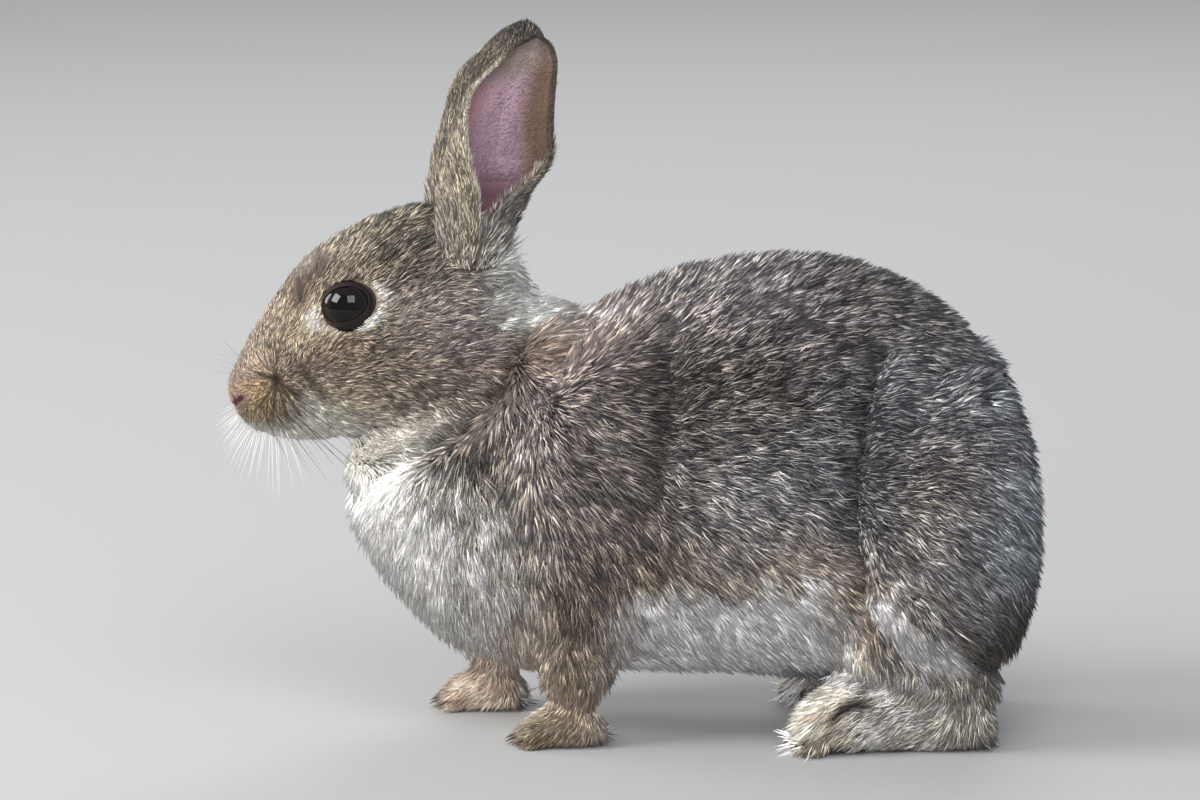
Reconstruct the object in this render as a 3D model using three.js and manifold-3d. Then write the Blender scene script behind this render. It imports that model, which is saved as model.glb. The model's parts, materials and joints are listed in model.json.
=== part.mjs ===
// A young European rabbit at life size, crouched on all four feet with its head up and its ears erect.
// Millimetres, +Z up. The nose points towards -X, and the rabbit's left flank faces -Y.
// Each part of the body is a loft: oval sections of named sizes carried along a bent axis. Sizes run
// out to the tips of the coat. Neighbours are cut back from each other by a thin gap, so none overlap.
import * as THREE from "three";
import { mergeVertices } from "three/addons/utils/BufferGeometryUtils.js";
import Module from "manifold-3d";

const wasm = await Module();
wasm.setup();

// ---------------------------------------------------------------- driving dimensions

const GAP = 0.3; // between touching parts
const STEPS = 2; // rings for each step between two stations
// Flat sides round the sections of each part.
const SIDES = {
  trunk: 16,
  skull: 16,
  neck: 14,
  tail: 12,
  thigh: 14,
  shank: 10,
  shoulder: 12,
  foreleg: 12,
  foot: 10,
  toe: 7,
  ear: 8,
  eye: 14,
};

const HEAD_PIVOT = [-45, 0, 127.8]; // middle of the back of the skull
const HEAD_PITCH = 21.5; // degrees that the skull rises from nose to crown
const HEAD_YAW = 8; // degrees that the nose turns to the rabbit's left

const EYE_RADIUS = 8.2;
const EYE_FORWARD = 38.2; // from the pivot, along the skull
const EYE_UP = 14; // above the skull's axis
const EYE_OUT = 11.6; // from the head's middle plane

const EAR_THICKNESS = 3.2;
const FLOOR_BITE = 1; // how far soles are modelled below the floor before they are cut flat

const COLOURS = {
  back: 0x6f6152,
  face: 0x8a7560,
  breast: 0xa89880,
  ear: 0x8b7263,
  foot: 0xa08e74,
  tail: 0xd8d2c6,
  eye: 0x120c0a,
};

// ---------------------------------------------------------------- lofts

const rad = THREE.MathUtils.degToRad;

// One value of the stations at a place between them, on a Catmull-Rom curve. It is never below zero
// for a section's size, because a curve that overshoots near a pole would turn the section inside out.
function between(stations, key, u, isSize) {
  const last = stations.length - 1;
  const i = Math.min(Math.floor(u), last - 1);
  const value = (k) =>
    stations[THREE.MathUtils.clamp(k, 0, last)][key] ?? 0;
  const t = u - i;
  const [a, b, c, d] = [value(i - 1), value(i), value(i + 1), value(i + 2)];
  const bent =
    0.5 *
    (2 * b +
      (c - a) * t +
      (2 * a - 5 * b + 4 * c - d) * t * t +
      (3 * b - a - 3 * c + d) * t * t * t);
  return isSize ? Math.max(bent, 0) : bent;
}

// A closed surface over rings of points. Each ring has as many points; a ring of one point is a pole.
// An open end is closed by a strip from one half of its ring to the other, which suits bent rings too.
function skinOver(rings) {
  const positions = [];
  const index = [];
  const starts = rings.map((ring) => {
    const start = positions.length / 3;
    ring.forEach((p) => positions.push(p.x, p.y, p.z));
    return start;
  });
  const count = Math.max(...rings.map((ring) => ring.length));
  for (let r = 0; r + 1 < rings.length; r++) {
    const [a, b] = [starts[r], starts[r + 1]];
    const [poleA, poleB] = [rings[r].length === 1, rings[r + 1].length === 1];
    for (let k = 0; k < count; k++) {
      const n = (k + 1) % count;
      if (poleA) index.push(a, b + k, b + n);
      else if (poleB) index.push(a + k, b, a + n);
      else index.push(a + k, b + k, a + n, a + n, b + k, b + n);
    }
  }
  const close = (start, flip) => {
    for (let k = 0; k < count / 2 - 1; k++) {
      const quad = [k, k + 1, count - 2 - k, count - 1 - k].map((v) => start + v);
      const faces = [quad[0], quad[1], quad[3], quad[1], quad[2], quad[3]];
      index.push(...(flip ? faces.reverse() : faces));
    }
  };
  if (rings[0].length > 1) close(starts[0], false);
  if (rings.at(-1).length > 1) close(starts.at(-1), true);
  const geometry = new THREE.BufferGeometry();
  geometry.setAttribute("position", new THREE.Float32BufferAttribute(positions, 3));
  geometry.setIndex(facingOut(index, positions));
  return geometry;
}

// The same triangles, turned round if they enclose a negative volume.
function facingOut(index, positions) {
  const corner = (i) => new THREE.Vector3().fromArray(positions, 3 * index[i]);
  let volume = 0;
  for (let i = 0; i < index.length; i += 3)
    volume += corner(i).dot(corner(i + 1).cross(corner(i + 2)));
  return volume < 0 ? index.toReversed() : index;
}

// A loft through stations of {x, y, z, up, down, half, pitch, pear}: the section's centre, its reach
// above, below and to each side, its axis's slope in degrees, and how much narrower its top is.
// The first and the last station are poles, where up, down and half are left out. `grow` swells the
// whole form, and `round` above 2 makes its sections squarer than an ellipse.
function loft(stations, sides, { grow = 0, steps = STEPS, round = 2 } = {}) {
  const rings = [];
  const count = (stations.length - 1) * steps;
  for (let r = 0; r <= count; r++) {
    const u = r / steps;
    const at = (key, isSize) => between(stations, key, u, isSize);
    const pitch = rad(at("pitch"));
    const axis = new THREE.Vector3(Math.cos(pitch), 0, Math.sin(pitch));
    const top = new THREE.Vector3(-Math.sin(pitch), 0, Math.cos(pitch));
    const centre = new THREE.Vector3(at("x"), at("y"), at("z"));
    if (r === 0 || r === count) {
      rings.push([centre.addScaledVector(axis, r ? grow : -grow)]);
      continue;
    }
    const ring = [];
    for (let k = 0; k < sides; k++) {
      const turn = (2 * Math.PI * k) / sides;
      const [c, s] = [Math.cos(turn), Math.sin(turn)];
      const bulge = (v) => Math.sign(v) * Math.abs(v) ** (2 / round);
      const across = (at("half", true) + grow) * bulge(c) * (1 - at("pear") * s);
      const rise = (at(s > 0 ? "up" : "down", true) + grow) * bulge(s);
      const point = centre.clone().addScaledVector(top, rise);
      point.y += across;
      ring.push(point);
    }
    rings.push(ring);
  }
  return skinOver(rings);
}

// ---------------------------------------------------------------- solids

function solid(geometry) {
  const bare = new THREE.BufferGeometry();
  bare.setAttribute("position", geometry.getAttribute("position"));
  bare.setIndex(geometry.getIndex());
  const merged = mergeVertices(bare, 1e-3);
  const made = new wasm.Manifold(
    new wasm.Mesh({
      numProp: 3,
      vertProperties: merged.getAttribute("position").array,
      triVerts: new Uint32Array(merged.getIndex().array),
    }),
  );
  if (made.volume() < 0) throw new Error("a surface is inside out");
  return made;
}

function geometryOf(made) {
  const mesh = made.getMesh();
  const geometry = new THREE.BufferGeometry();
  geometry.setAttribute(
    "position",
    new THREE.Float32BufferAttribute(mesh.vertProperties, 3),
  );
  geometry.setIndex(new THREE.BufferAttribute(mesh.triVerts, 1));
  geometry.computeVertexNormals();
  return geometry;
}

const joined = (...solids) => solids.reduce((a, b) => a.add(b));
const without = (made, ...cutters) => cutters.reduce((a, b) => a.subtract(b), made);

const floor = solid(
  new THREE.BoxGeometry(600, 400, 40).translate(0, 0, -20),
);

// ---------------------------------------------------------------- trunk, neck and tail

// Written by the back's height (top) and the belly's (bottom); the section is widest below its middle.
const WIDEST = 0.43;
const trunkStation = (x, top, bottom, half) => {
  const z = bottom + WIDEST * (top - bottom);
  return { x, z, up: top - z, down: z - bottom, half, pear: 0.06 };
};

const TRUNK = [
  { x: -86, z: 74 }, // front of the breast
  trunkStation(-83.2, 87, 64, 13), // breast
  trunkStation(-74, 97, 47.5, 23), // throat
  trunkStation(-58, 108, 30, 31), // point of the shoulder
  trunkStation(-35, 119, 19.5, 36), // forelegs
  trunkStation(-12, 126, 18, 39), // withers
  trunkStation(14, 135.5, 18, 44), // ribs
  trunkStation(41, 139.5, 17, 48), // loin
  trunkStation(67, 135.5, 15.5, 50), // hips
  trunkStation(90, 122.5, 15, 46), // croup
  trunkStation(104, 102, 27, 37), // root of the tail
  trunkStation(111.5, 84, 46, 22), // buttocks
  { x: 115.5, z: 65 },
];

const NECK = [
  { x: -75, z: 125, pitch: -38 },
  { x: -62, z: 117, up: 21, down: 20, half: 20, pitch: -38 }, // behind the jaw
  { x: -48, z: 108, up: 27.5, down: 27, half: 26, pitch: -38 }, // nape
  { x: -32, z: 95, up: 28, down: 28, half: 30, pitch: -38 }, // root of the neck
  { x: -14, z: 82, pitch: -38 },
];

const TAIL = [
  { x: 103, z: 58, pitch: -75 },
  { x: 105, z: 51, up: 8, down: 6, half: 9, pitch: -78 },
  { x: 105.5, z: 39, up: 8, down: 7, half: 11.5, pitch: -88 },
  { x: 103, z: 27, up: 6.5, down: 6, half: 9, pitch: -105 },
  { x: 100, z: 20, pitch: -115 },
];

// ---------------------------------------------------------------- legs of the left side

const SHOULDER = [
  { x: -14, y: -24, z: 121, pitch: -76 },
  { x: -14.5, y: -27, z: 113, up: 15, down: 13, half: 8.5, pitch: -78 }, // top of the blade
  { x: -15, y: -29, z: 98, up: 24, down: 22, half: 13, pitch: -82 },
  { x: -16, y: -29, z: 78, up: 28, down: 26, half: 15, pitch: -86 }, // point of the shoulder
  { x: -15, y: -28, z: 58, up: 24, down: 24, half: 14.5, pitch: -92 }, // elbow
  { x: -15, y: -26.5, z: 42, up: 15, down: 15, half: 10, pitch: -92 },
  { x: -15, y: -26, z: 34, pitch: -92 },
];

const FORELEG = [
  { x: -15, y: -26, z: 62, pitch: -90 },
  { x: -15, y: -26, z: 50, up: 18, down: 17, half: 12, pitch: -90 },
  { x: -16, y: -25.5, z: 35, up: 15, down: 14.5, half: 11.5, pitch: -90 }, // forearm
  { x: -18, y: -25, z: 18, up: 10, down: 10.5, half: 9, pitch: -90 }, // wrist
  { x: -20, y: -25, z: 4, pitch: -90 },
];

const FOREPAW = [
  { x: -8.5, y: -25, z: 5 },
  { x: -11.5, y: -25, z: 5, up: 6.5, down: 6, half: 7 },
  { x: -20, y: -25, z: 5.5, up: 8, down: 7, half: 8.5 },
  { x: -28.5, y: -25.5, z: 5, up: 6.5, down: 6.5, half: 8.5 },
  { x: -34, y: -25.5, z: 4 },
];
const FORE_STRIDE = -23; // how far the right forefoot stands ahead of the left one

const THIGH = [
  { x: 78, y: -22, z: 110, pitch: -58 },
  { x: 81.5, y: -25.5, z: 103, up: 19, down: 15, half: 13.5, pitch: -66 }, // hip
  { x: 85.5, y: -30, z: 89, up: 25.5, down: 27, half: 20.5, pitch: -76 },
  { x: 87, y: -32.5, z: 71, up: 27.5, down: 31, half: 24.5, pitch: -86 }, // widest
  { x: 85.5, y: -33.5, z: 51, up: 28, down: 29.5, half: 23.5, pitch: -95 },
  { x: 82, y: -34, z: 35, up: 24, down: 22, half: 18, pitch: -105 }, // knee
  { x: 82.5, y: -33, z: 23, pitch: -110 },
];

const SHANK = [
  { x: 57, y: -36, z: 33, pitch: -18 },
  { x: 62, y: -36, z: 33, up: 9, down: 9, half: 9, pitch: -18 }, // front of the knee
  { x: 80, y: -34, z: 28.5, up: 13, down: 11, half: 11, pitch: -18 },
  { x: 98, y: -30.5, z: 20, up: 10, down: 10, half: 9, pitch: -24 }, // hock
  { x: 104, y: -30, z: 16.5, pitch: -24 },
];

const HINDFOOT = [
  { x: 103.5, y: -30, z: 8 },
  { x: 99.5, y: -30, z: 9, up: 9.5, down: 10, half: 8 }, // heel
  { x: 87, y: -30.5, z: 10.5, up: 11, down: 12, half: 9 },
  { x: 71, y: -31.5, z: 12, up: 12, down: 13.5, half: 10.5 }, // instep
  { x: 58, y: -33, z: 11, up: 12, down: 12.5, half: 12 },
  { x: 48, y: -33.5, z: 8, up: 7, down: 8, half: 9 },
  { x: 44, y: -33.5, z: 7 },
];

// Toes side by side in front of a paw. Each is a short loft along the foot.
function toes({ x, y, z, count, spread, length, half, up }) {
  return Array.from({ length: count }, (_, k) => {
    const side = k - (count - 1) / 2;
    const reach = length * (1 - 0.16 * Math.abs(side)); // the middle toes are the longest
    const root = { x, y: y + side * spread, z };
    const tip = { x: x - reach, y: y + side * spread * 1.1, z: z * 0.6 };
    const down = z + FLOOR_BITE;
    return [
      root,
      { ...root, x: x - 3, up, down, half },
      { ...tip, x: tip.x + 5, z: z * 0.85, up: up * 0.85, down, half },
      { ...tip, x: tip.x + 1.5, up: up * 0.5, down: down * 0.6, half: half * 0.7 },
      tip,
    ];
  });
}

const HIND_TOES = toes({
  x: 56, y: -33.5, z: 8, count: 4, spread: 5, length: 15, half: 4.2, up: 9.5,
});
const FORE_TOES = toes({
  x: -26, y: -25.5, z: 5, count: 4, spread: 4.1, length: 12, half: 3.4, up: 5.5,
});

// ---------------------------------------------------------------- head, eyes and ears

const headPlace = new THREE.Matrix4()
  .makeTranslation(...HEAD_PIVOT)
  .multiply(new THREE.Matrix4().makeRotationZ(rad(HEAD_YAW)));
const skullPlace = headPlace
  .clone()
  .multiply(new THREE.Matrix4().makeRotationY(-rad(HEAD_PITCH)));

// x runs along the skull from the pivot, with the nose at -80.
const SKULL = [
  { x: -80, z: -1 }, // tip of the nose
  { x: -78.6, z: -1, up: 5.5, down: 7, half: 6.5 },
  { x: -75, up: 8.7, down: 12.3, half: 11 }, // lips
  { x: -67, up: 16, down: 17.6, half: 14 }, // whisker pads
  { x: -57.5, up: 22.5, down: 21.5, half: 15.5 }, // bridge of the nose
  { x: -40, up: 31.5, down: 27.5, half: 19.5, pear: 0.1 }, // eyes
  { x: -23, up: 34, down: 30, half: 23.5, pear: 0.14 }, // cheeks
  { x: -6, up: 31, down: 26, half: 22, pear: 0.1 }, // ears
  { x: 7, up: 20, down: 16, half: 15 },
  { x: 13 },
];

function eye(side, grow = 0) {
  return new THREE.SphereGeometry(EYE_RADIUS + grow, SIDES.eye, SIDES.eye - 5)
    .translate(-EYE_FORWARD, side * EYE_OUT, EYE_UP)
    .applyMatrix4(skullPlace);
}

// The ear's sections run up from the skull. Each is an arc round (x, y, z) that opens outwards. It
// turns through `front` degrees to its front rim and `back` degrees to its back one, and `deep` is
// its depth against its radius.
const EAR = [
  { x: -7, y: -9.5, z: 3, radius: 6, deep: 1, front: 172, back: 166, thick: 1 },
  { x: -5.4, y: -11.8, z: 14, radius: 8.4, deep: 1, front: 172, back: 166, thick: 1.1 }, // notch
  { x: -3.4, y: -13.5, z: 25, radius: 10, deep: 1, front: 168, back: 163, thick: 1.1 },
  { x: -1.2, y: -15, z: 33, radius: 12, deep: 0.9, front: 157, back: 140, thick: 1 },
  { x: 2, y: -16.5, z: 41, radius: 14, deep: 0.82, front: 136, back: 96, thick: 0.95 },
  { x: 4.4, y: -17.5, z: 50, radius: 14.2, deep: 0.76, front: 115, back: 68, thick: 0.9 }, // widest
  { x: 6.8, y: -18.5, z: 61, radius: 13.2, deep: 0.66, front: 97, back: 60, thick: 0.85 },
  { x: 10.2, y: -18.5, z: 69, radius: 9.4, deep: 0.6, front: 88, back: 62, thick: 0.8 },
  { x: 11.8, y: -18.2, z: 74, radius: 5.6, deep: 0.6, front: 84, back: 64, thick: 0.8 },
  { x: 12.8, y: -18, z: 76.6, radius: 2, deep: 0.6, front: 80, back: 64, thick: 0.7 }, // tip
];

function ear(side) {
  const rings = [];
  const count = (EAR.length - 1) * STEPS;
  const place = headPlace.clone().scale(new THREE.Vector3(1, -side, 1));
  for (let r = 0; r <= count; r++) {
    const at = (key) => between(EAR, key, r / STEPS, false);
    const wall = (EAR_THICKNESS * at("thick")) / 2;
    const arc = (turn, reach) =>
      new THREE.Vector3(
        at("x") + reach * Math.sin(turn),
        at("y") + reach * Math.cos(turn) * at("deep"),
        at("z"),
      ).applyMatrix4(place);
    const turns = Array.from({ length: SIDES.ear }, (_, k) =>
      rad(THREE.MathUtils.lerp(-at("front"), at("back"), k / (SIDES.ear - 1))),
    );
    rings.push([
      ...turns.map((turn) => arc(turn, at("radius") + wall)),
      ...turns.toReversed().map((turn) => arc(turn, at("radius") - wall)),
    ]);
  }
  return skinOver(rings);
}

// ---------------------------------------------------------------- the rabbit

const rabbit = new THREE.Group();

function add(name, made, colour) {
  const material = new THREE.MeshStandardMaterial({
    color: colour,
    roughness: name.startsWith("eye") ? 0.08 : 0.9,
    metalness: 0,
  });
  const mesh = new THREE.Mesh(geometryOf(made), material);
  mesh.name = name;
  rabbit.add(mesh);
}

const skull = (grow) => solid(loft(SKULL, SIDES.skull, { grow }).applyMatrix4(skullPlace));
const trunk = (grow) => solid(loft(TRUNK, SIDES.trunk, { grow, round: 2.1 }));

// The stations of a left part, moved along the body or mirrored to the right side.
const moved = (stations, dx) => stations.map((s) => ({ ...s, x: s.x + dx }));
const onSide = (side, stations) => stations.map((s) => ({ ...s, y: -side * s.y }));

const LEFT = -1;
const RIGHT = 1;
const SIDE_NAMES = new Map([[LEFT, "left"], [RIGHT, "right"]]);

const stride = (side) => (side === RIGHT ? FORE_STRIDE : 0);
const limb = (side, stations, dx, sides, options) =>
  solid(loft(onSide(side, moved(stations, dx)), sides, options));

function foot(side, stations, toeStations, dx, grow) {
  const parts = toeStations.map((toe) => limb(side, toe, dx, SIDES.toe, { grow, steps: 1 }));
  return joined(limb(side, stations, dx, SIDES.foot, { grow }), ...parts);
}

const thigh = (side, grow) => limb(side, THIGH, 0, SIDES.thigh, { grow });
const shank = (side, grow) => limb(side, SHANK, 0, SIDES.shank, { grow });
const hindfoot = (side, grow) => foot(side, HINDFOOT, HIND_TOES, 0, grow);
const shoulder = (side, grow) => limb(side, SHOULDER, stride(side) / 3, SIDES.shoulder, { grow });
const foreleg = (side, grow) => limb(side, FORELEG, stride(side), SIDES.foreleg, { grow });
const forepaw = (side, grow) => foot(side, FOREPAW, FORE_TOES, stride(side), grow);

// Both sides of a part, swollen by the gap, to cut its neighbours with.
const both = (part) => [part(LEFT, GAP), part(RIGHT, GAP)];
const eyes = both((side, grow) => solid(eye(side, grow)));
const shoulders = both(shoulder);
const hindlegs = [...both(thigh), ...both(shank), ...both(hindfoot)];

const neck = solid(loft(NECK, SIDES.neck));
const tail = solid(loft(TAIL, SIDES.tail));

add("head", without(skull(0), ...eyes), COLOURS.face);
add("neck", without(neck, skull(GAP), trunk(GAP), ...shoulders), COLOURS.breast);
add("trunk", without(trunk(0), skull(GAP), ...hindlegs), COLOURS.back);
add("tail", without(tail, trunk(GAP), ...hindlegs), COLOURS.tail);

for (const [side, name] of SIDE_NAMES) {
  const grownFoot = hindfoot(side, GAP);
  add("eye_" + name, solid(eye(side)), COLOURS.eye);
  add("ear_" + name, without(solid(ear(side)), skull(GAP)), COLOURS.ear);
  add("thigh_" + name, without(thigh(side, 0), grownFoot), COLOURS.back);
  add("shank_" + name, without(shank(side, 0), thigh(side, GAP), grownFoot), COLOURS.foot);
  add("hindfoot_" + name, without(hindfoot(side, 0), floor), COLOURS.foot);
  add("shoulder_" + name, without(shoulder(side, 0), trunk(GAP), skull(GAP)), COLOURS.back);
  add(
    "foreleg_" + name,
    without(foreleg(side, 0), forepaw(side, GAP), shoulder(side, GAP), trunk(GAP)),
    COLOURS.foot,
  );
  add("forepaw_" + name, without(forepaw(side, 0), floor), COLOURS.foot);
}

// The origin is on the floor, under the middle of the rabbit's box.
const box = new THREE.Box3().setFromObject(rabbit);
const middle = box.getCenter(new THREE.Vector3());
rabbit.position.set(-middle.x, -middle.y, -box.min.z);

export default rabbit;
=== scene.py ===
# %% [markdown]
# # A young wild rabbit, at life size
# The animal crouches on all four feet with its head up and its ears erect. Its solid forms come from
# the frame, and this lesson gives them a skin, a coat, eyes, whiskers and claws.
# The order is the taxidermist's: first the body under the coat, then the lie and the colours of the
# coat as functions of a place on the body, then the coat itself, and the small features last.

import itertools
import json
import math

import bmesh
import bpy
import numpy as np
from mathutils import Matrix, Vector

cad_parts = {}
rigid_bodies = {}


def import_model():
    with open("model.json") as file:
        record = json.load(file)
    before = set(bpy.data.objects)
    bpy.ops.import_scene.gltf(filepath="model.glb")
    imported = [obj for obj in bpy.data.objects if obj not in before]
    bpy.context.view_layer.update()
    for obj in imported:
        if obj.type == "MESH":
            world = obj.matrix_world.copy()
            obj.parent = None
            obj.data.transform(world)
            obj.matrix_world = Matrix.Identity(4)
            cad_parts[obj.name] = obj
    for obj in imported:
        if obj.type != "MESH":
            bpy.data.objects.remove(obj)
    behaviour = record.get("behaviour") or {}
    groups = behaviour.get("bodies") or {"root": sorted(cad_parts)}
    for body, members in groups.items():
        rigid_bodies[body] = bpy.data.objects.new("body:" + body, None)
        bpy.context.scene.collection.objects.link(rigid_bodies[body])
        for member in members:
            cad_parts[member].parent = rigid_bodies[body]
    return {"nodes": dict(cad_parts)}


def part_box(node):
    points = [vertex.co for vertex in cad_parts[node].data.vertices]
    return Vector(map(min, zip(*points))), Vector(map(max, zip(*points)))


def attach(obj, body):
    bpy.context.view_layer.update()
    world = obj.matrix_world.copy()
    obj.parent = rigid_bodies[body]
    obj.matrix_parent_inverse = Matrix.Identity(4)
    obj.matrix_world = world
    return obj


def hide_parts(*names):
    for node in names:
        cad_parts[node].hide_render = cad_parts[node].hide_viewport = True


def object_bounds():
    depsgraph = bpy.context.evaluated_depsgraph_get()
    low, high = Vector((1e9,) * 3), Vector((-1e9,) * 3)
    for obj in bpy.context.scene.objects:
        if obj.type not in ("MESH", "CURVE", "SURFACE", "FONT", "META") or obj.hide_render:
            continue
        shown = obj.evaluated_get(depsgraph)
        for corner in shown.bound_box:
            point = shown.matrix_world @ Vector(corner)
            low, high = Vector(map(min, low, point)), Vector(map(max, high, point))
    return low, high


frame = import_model()
cad_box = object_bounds()
MM = 0.001
print("frame:", len(frame["nodes"]), "nodes, box in mm", [round(v / MM) for v in cad_box[1] - cad_box[0]])

# %% [markdown]
# ## The head's own axes
# The head is tilted and turned, so its features are easiest to place along the skull: x runs
# backwards from the nose, which lies at -80, y across and z up, all from a pivot at the back of the
# skull. Two turns take such a place to the body. The eye's solid in the frame then tells how far the
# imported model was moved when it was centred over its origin, so that nothing has to be fitted.

# %% Turn between the skull and the body
PIVOT = np.array([-45.0, 0.0, 127.8])
PITCH, YAW = math.radians(21.5), math.radians(8)
EYE = np.array([-38.2, -11.6, 14.0])
EYE_RADIUS = 8.2


def turn_z(a):
    """The matrix of a turn by an angle about Z."""
    c, s = math.cos(a), math.sin(a)
    return np.array([[c, -s, 0], [s, c, 0], [0, 0, 1]])


def turn_y(a):
    """The matrix of a turn by an angle about Y that lowers -X."""
    c, s = math.cos(a), math.sin(a)
    return np.array([[c, 0, -s], [0, 1, 0], [s, 0, c]])


SKULL_TURN = turn_z(YAW) @ turn_y(PITCH)
HEAD_TURN = turn_z(YAW)


def from_skull(p, turn=SKULL_TURN):
    """Body place = turn times skull place, plus the pivot."""
    return np.asarray(p, float) @ turn.T + PIVOT


def to_skull(p):
    """Skull place = turn back of (body place minus the pivot)."""
    return (p - PIVOT) @ SKULL_TURN


low, high = (np.array(corner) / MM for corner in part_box("eye_left"))
SHIFT = (low + high) / 2 - from_skull(EYE)
print("the packed model is moved by", SHIFT.round(2), "mm")

# %% [markdown]
# ## Meshes from arrays
# Every shape below is worked out as numpy arrays in millimetres and handed to Blender in one go.
# That is far quicker than adding vertices one by one, and it keeps each shape a formula.

# %% Hand arrays to Blender


def mesh_object(name, points, faces, smooth=True):
    """A new object from (n, 3) points in mm and an (m, k) array of corners, k the same for all faces."""
    faces = np.asarray(faces)
    mesh = bpy.data.meshes.new(name)
    mesh.vertices.add(len(points))
    mesh.vertices.foreach_set("co", ((points + SHIFT) * MM).astype(np.float32).ravel())
    mesh.loops.add(faces.size)
    mesh.loops.foreach_set("vertex_index", faces.astype(np.int32).ravel())
    mesh.polygons.add(len(faces))
    mesh.polygons.foreach_set("loop_start", np.arange(0, faces.size, faces.shape[1], dtype=np.int32))
    mesh.polygons.foreach_set("use_smooth", np.full(len(faces), smooth))
    mesh.update(calc_edges=True)
    made = bpy.data.objects.new(name, mesh)
    bpy.context.scene.collection.objects.link(made)
    return made


def points_of(made):
    """The vertices of an object, in mm, in the body's own coordinates."""
    co = np.empty(3 * len(made.data.vertices), np.float32)
    made.data.vertices.foreach_get("co", co)
    return co.reshape(-1, 3).astype(float) / MM - SHIFT


def move_points(made, points):
    """Puts the vertices of an object at (n, 3) places in mm."""
    made.data.vertices.foreach_set("co", ((points + SHIFT) * MM).astype(np.float32).ravel())
    made.data.update()


def normals_of(made):
    """The normals at the vertices of an object."""
    normals = np.empty(3 * len(made.data.vertices), np.float32)
    made.data.vertex_normals.foreach_get("vector", normals)
    return normals.reshape(-1, 3).astype(float)


def apply_modifiers(made):
    """Keeps what the modifiers make and takes them off the piece."""
    shown = made.evaluated_get(bpy.context.evaluated_depsgraph_get())
    mesh = bpy.data.meshes.new_from_object(shown)
    made.modifiers.clear()
    made.data = mesh


def grid_faces(rows, columns, closed=True):
    """The quads of a grid of rows and columns. A closed grid joins its last column to its first."""
    r, c = np.meshgrid(np.arange(rows - 1), np.arange(columns if closed else columns - 1), indexing="ij")
    n = (c + 1) % columns
    corners = (r * columns + c, r * columns + n, (r + 1) * columns + n, (r + 1) * columns + c)
    return np.stack(corners, -1).reshape(-1, 4)


def step(a, b, x):
    """0 below a, 1 above b and the smooth cubic 3t^2 - 2t^3 between."""
    t = np.clip((x - a) / (b - a), 0, 1)
    return t * t * (3 - 2 * t)


def unit(v):
    """Vectors of length one."""
    return v / np.maximum(np.linalg.norm(v, axis=-1, keepdims=True), 1e-9)


def bell(x, width):
    """1 at zero, falling off on both sides as exp(-(x / width)^2)."""
    return np.exp(-((x / width) ** 2))


def on_left(q):
    """Places with y turned to the left side, so that both sides read the same rows."""
    return np.stack((q[:, 0], -np.abs(q[:, 1]), q[:, 2]), -1)


def to_left(p):
    """What to multiply places by to bring them to the left side, and their directions back again."""
    return np.where(p[:, 1:2] > 0, (1, -1, 1), (1, 1, 1))


def edges_of(made):
    """The two ends of each edge, as an (n, 2) array."""
    edges = np.empty(2 * len(made.data.edges), np.int32)
    made.data.edges.foreach_get("vertices", edges)
    return edges.reshape(-1, 2)


# %% [markdown]
# ## The body's forms
# A body's part could be sculpted, or built from metaballs. A loft is easier to steer: oval sections of
# known height and width are carried along a bent axis, and a smooth curve runs through them. The frame's
# solids are made of such sections too, in fewer steps. Each row is a section: the axis's x, y, z, the
# reach above, below and to each side, the axis's slope in degrees and how much narrower its top is.

# %% Loft sections along an axis


def through(rows, u):
    """A Catmull-Rom curve through rows at places u, where row k lies at u = k."""
    i = np.clip(np.floor(u).astype(int), 0, len(rows) - 2)
    t = (u - i)[:, None]
    a, b, c, d = (rows[np.clip(i + k, 0, len(rows) - 1)] for k in (-1, 0, 1, 2))
    return 0.5 * (2 * b + (c - a) * t + (2 * a - 5 * b + 4 * c - d) * t**2 + (3 * b - a - 3 * c + d) * t**3)


def loft(stations, sides=40, steps=8, square=2.0):
    """Point = axis + across * cos + rise * sin, both to the power 2/square, and a pole at each end."""
    rows = np.zeros((len(stations), 8))
    for row, station in zip(rows, stations):
        row[: len(station)] = station
    last = len(rows) - 1
    x, y, z, up, down, half, pitch, pear = through(rows, np.linspace(0, last, last * steps + 1)).T[..., None]
    up, down, half = (np.maximum(size, 0) for size in (up, down, half))
    turn = np.linspace(0, 2 * np.pi, sides, endpoint=False)
    c, s = (np.sign(v) * np.abs(v) ** (2 / square) for v in (np.cos(turn), np.sin(turn)))
    rise = np.where(s > 0, up, down) * s
    slope = np.radians(pitch)
    ring = (x - np.sin(slope) * rise, y + half * c * (1 - pear * s), z + np.cos(slope) * rise)
    points = np.stack(np.broadcast_arrays(*ring), -1)
    points[0], points[-1] = rows[0, :3], rows[-1, :3]
    return points


def trunk_station(x, top, bottom, half, widest=0.43):
    """A section between the back's height and the belly's, widest below its middle."""
    z = bottom + widest * (top - bottom)
    return (x, 0, z, top - z, z - bottom, half, 0, 0.06)


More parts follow.
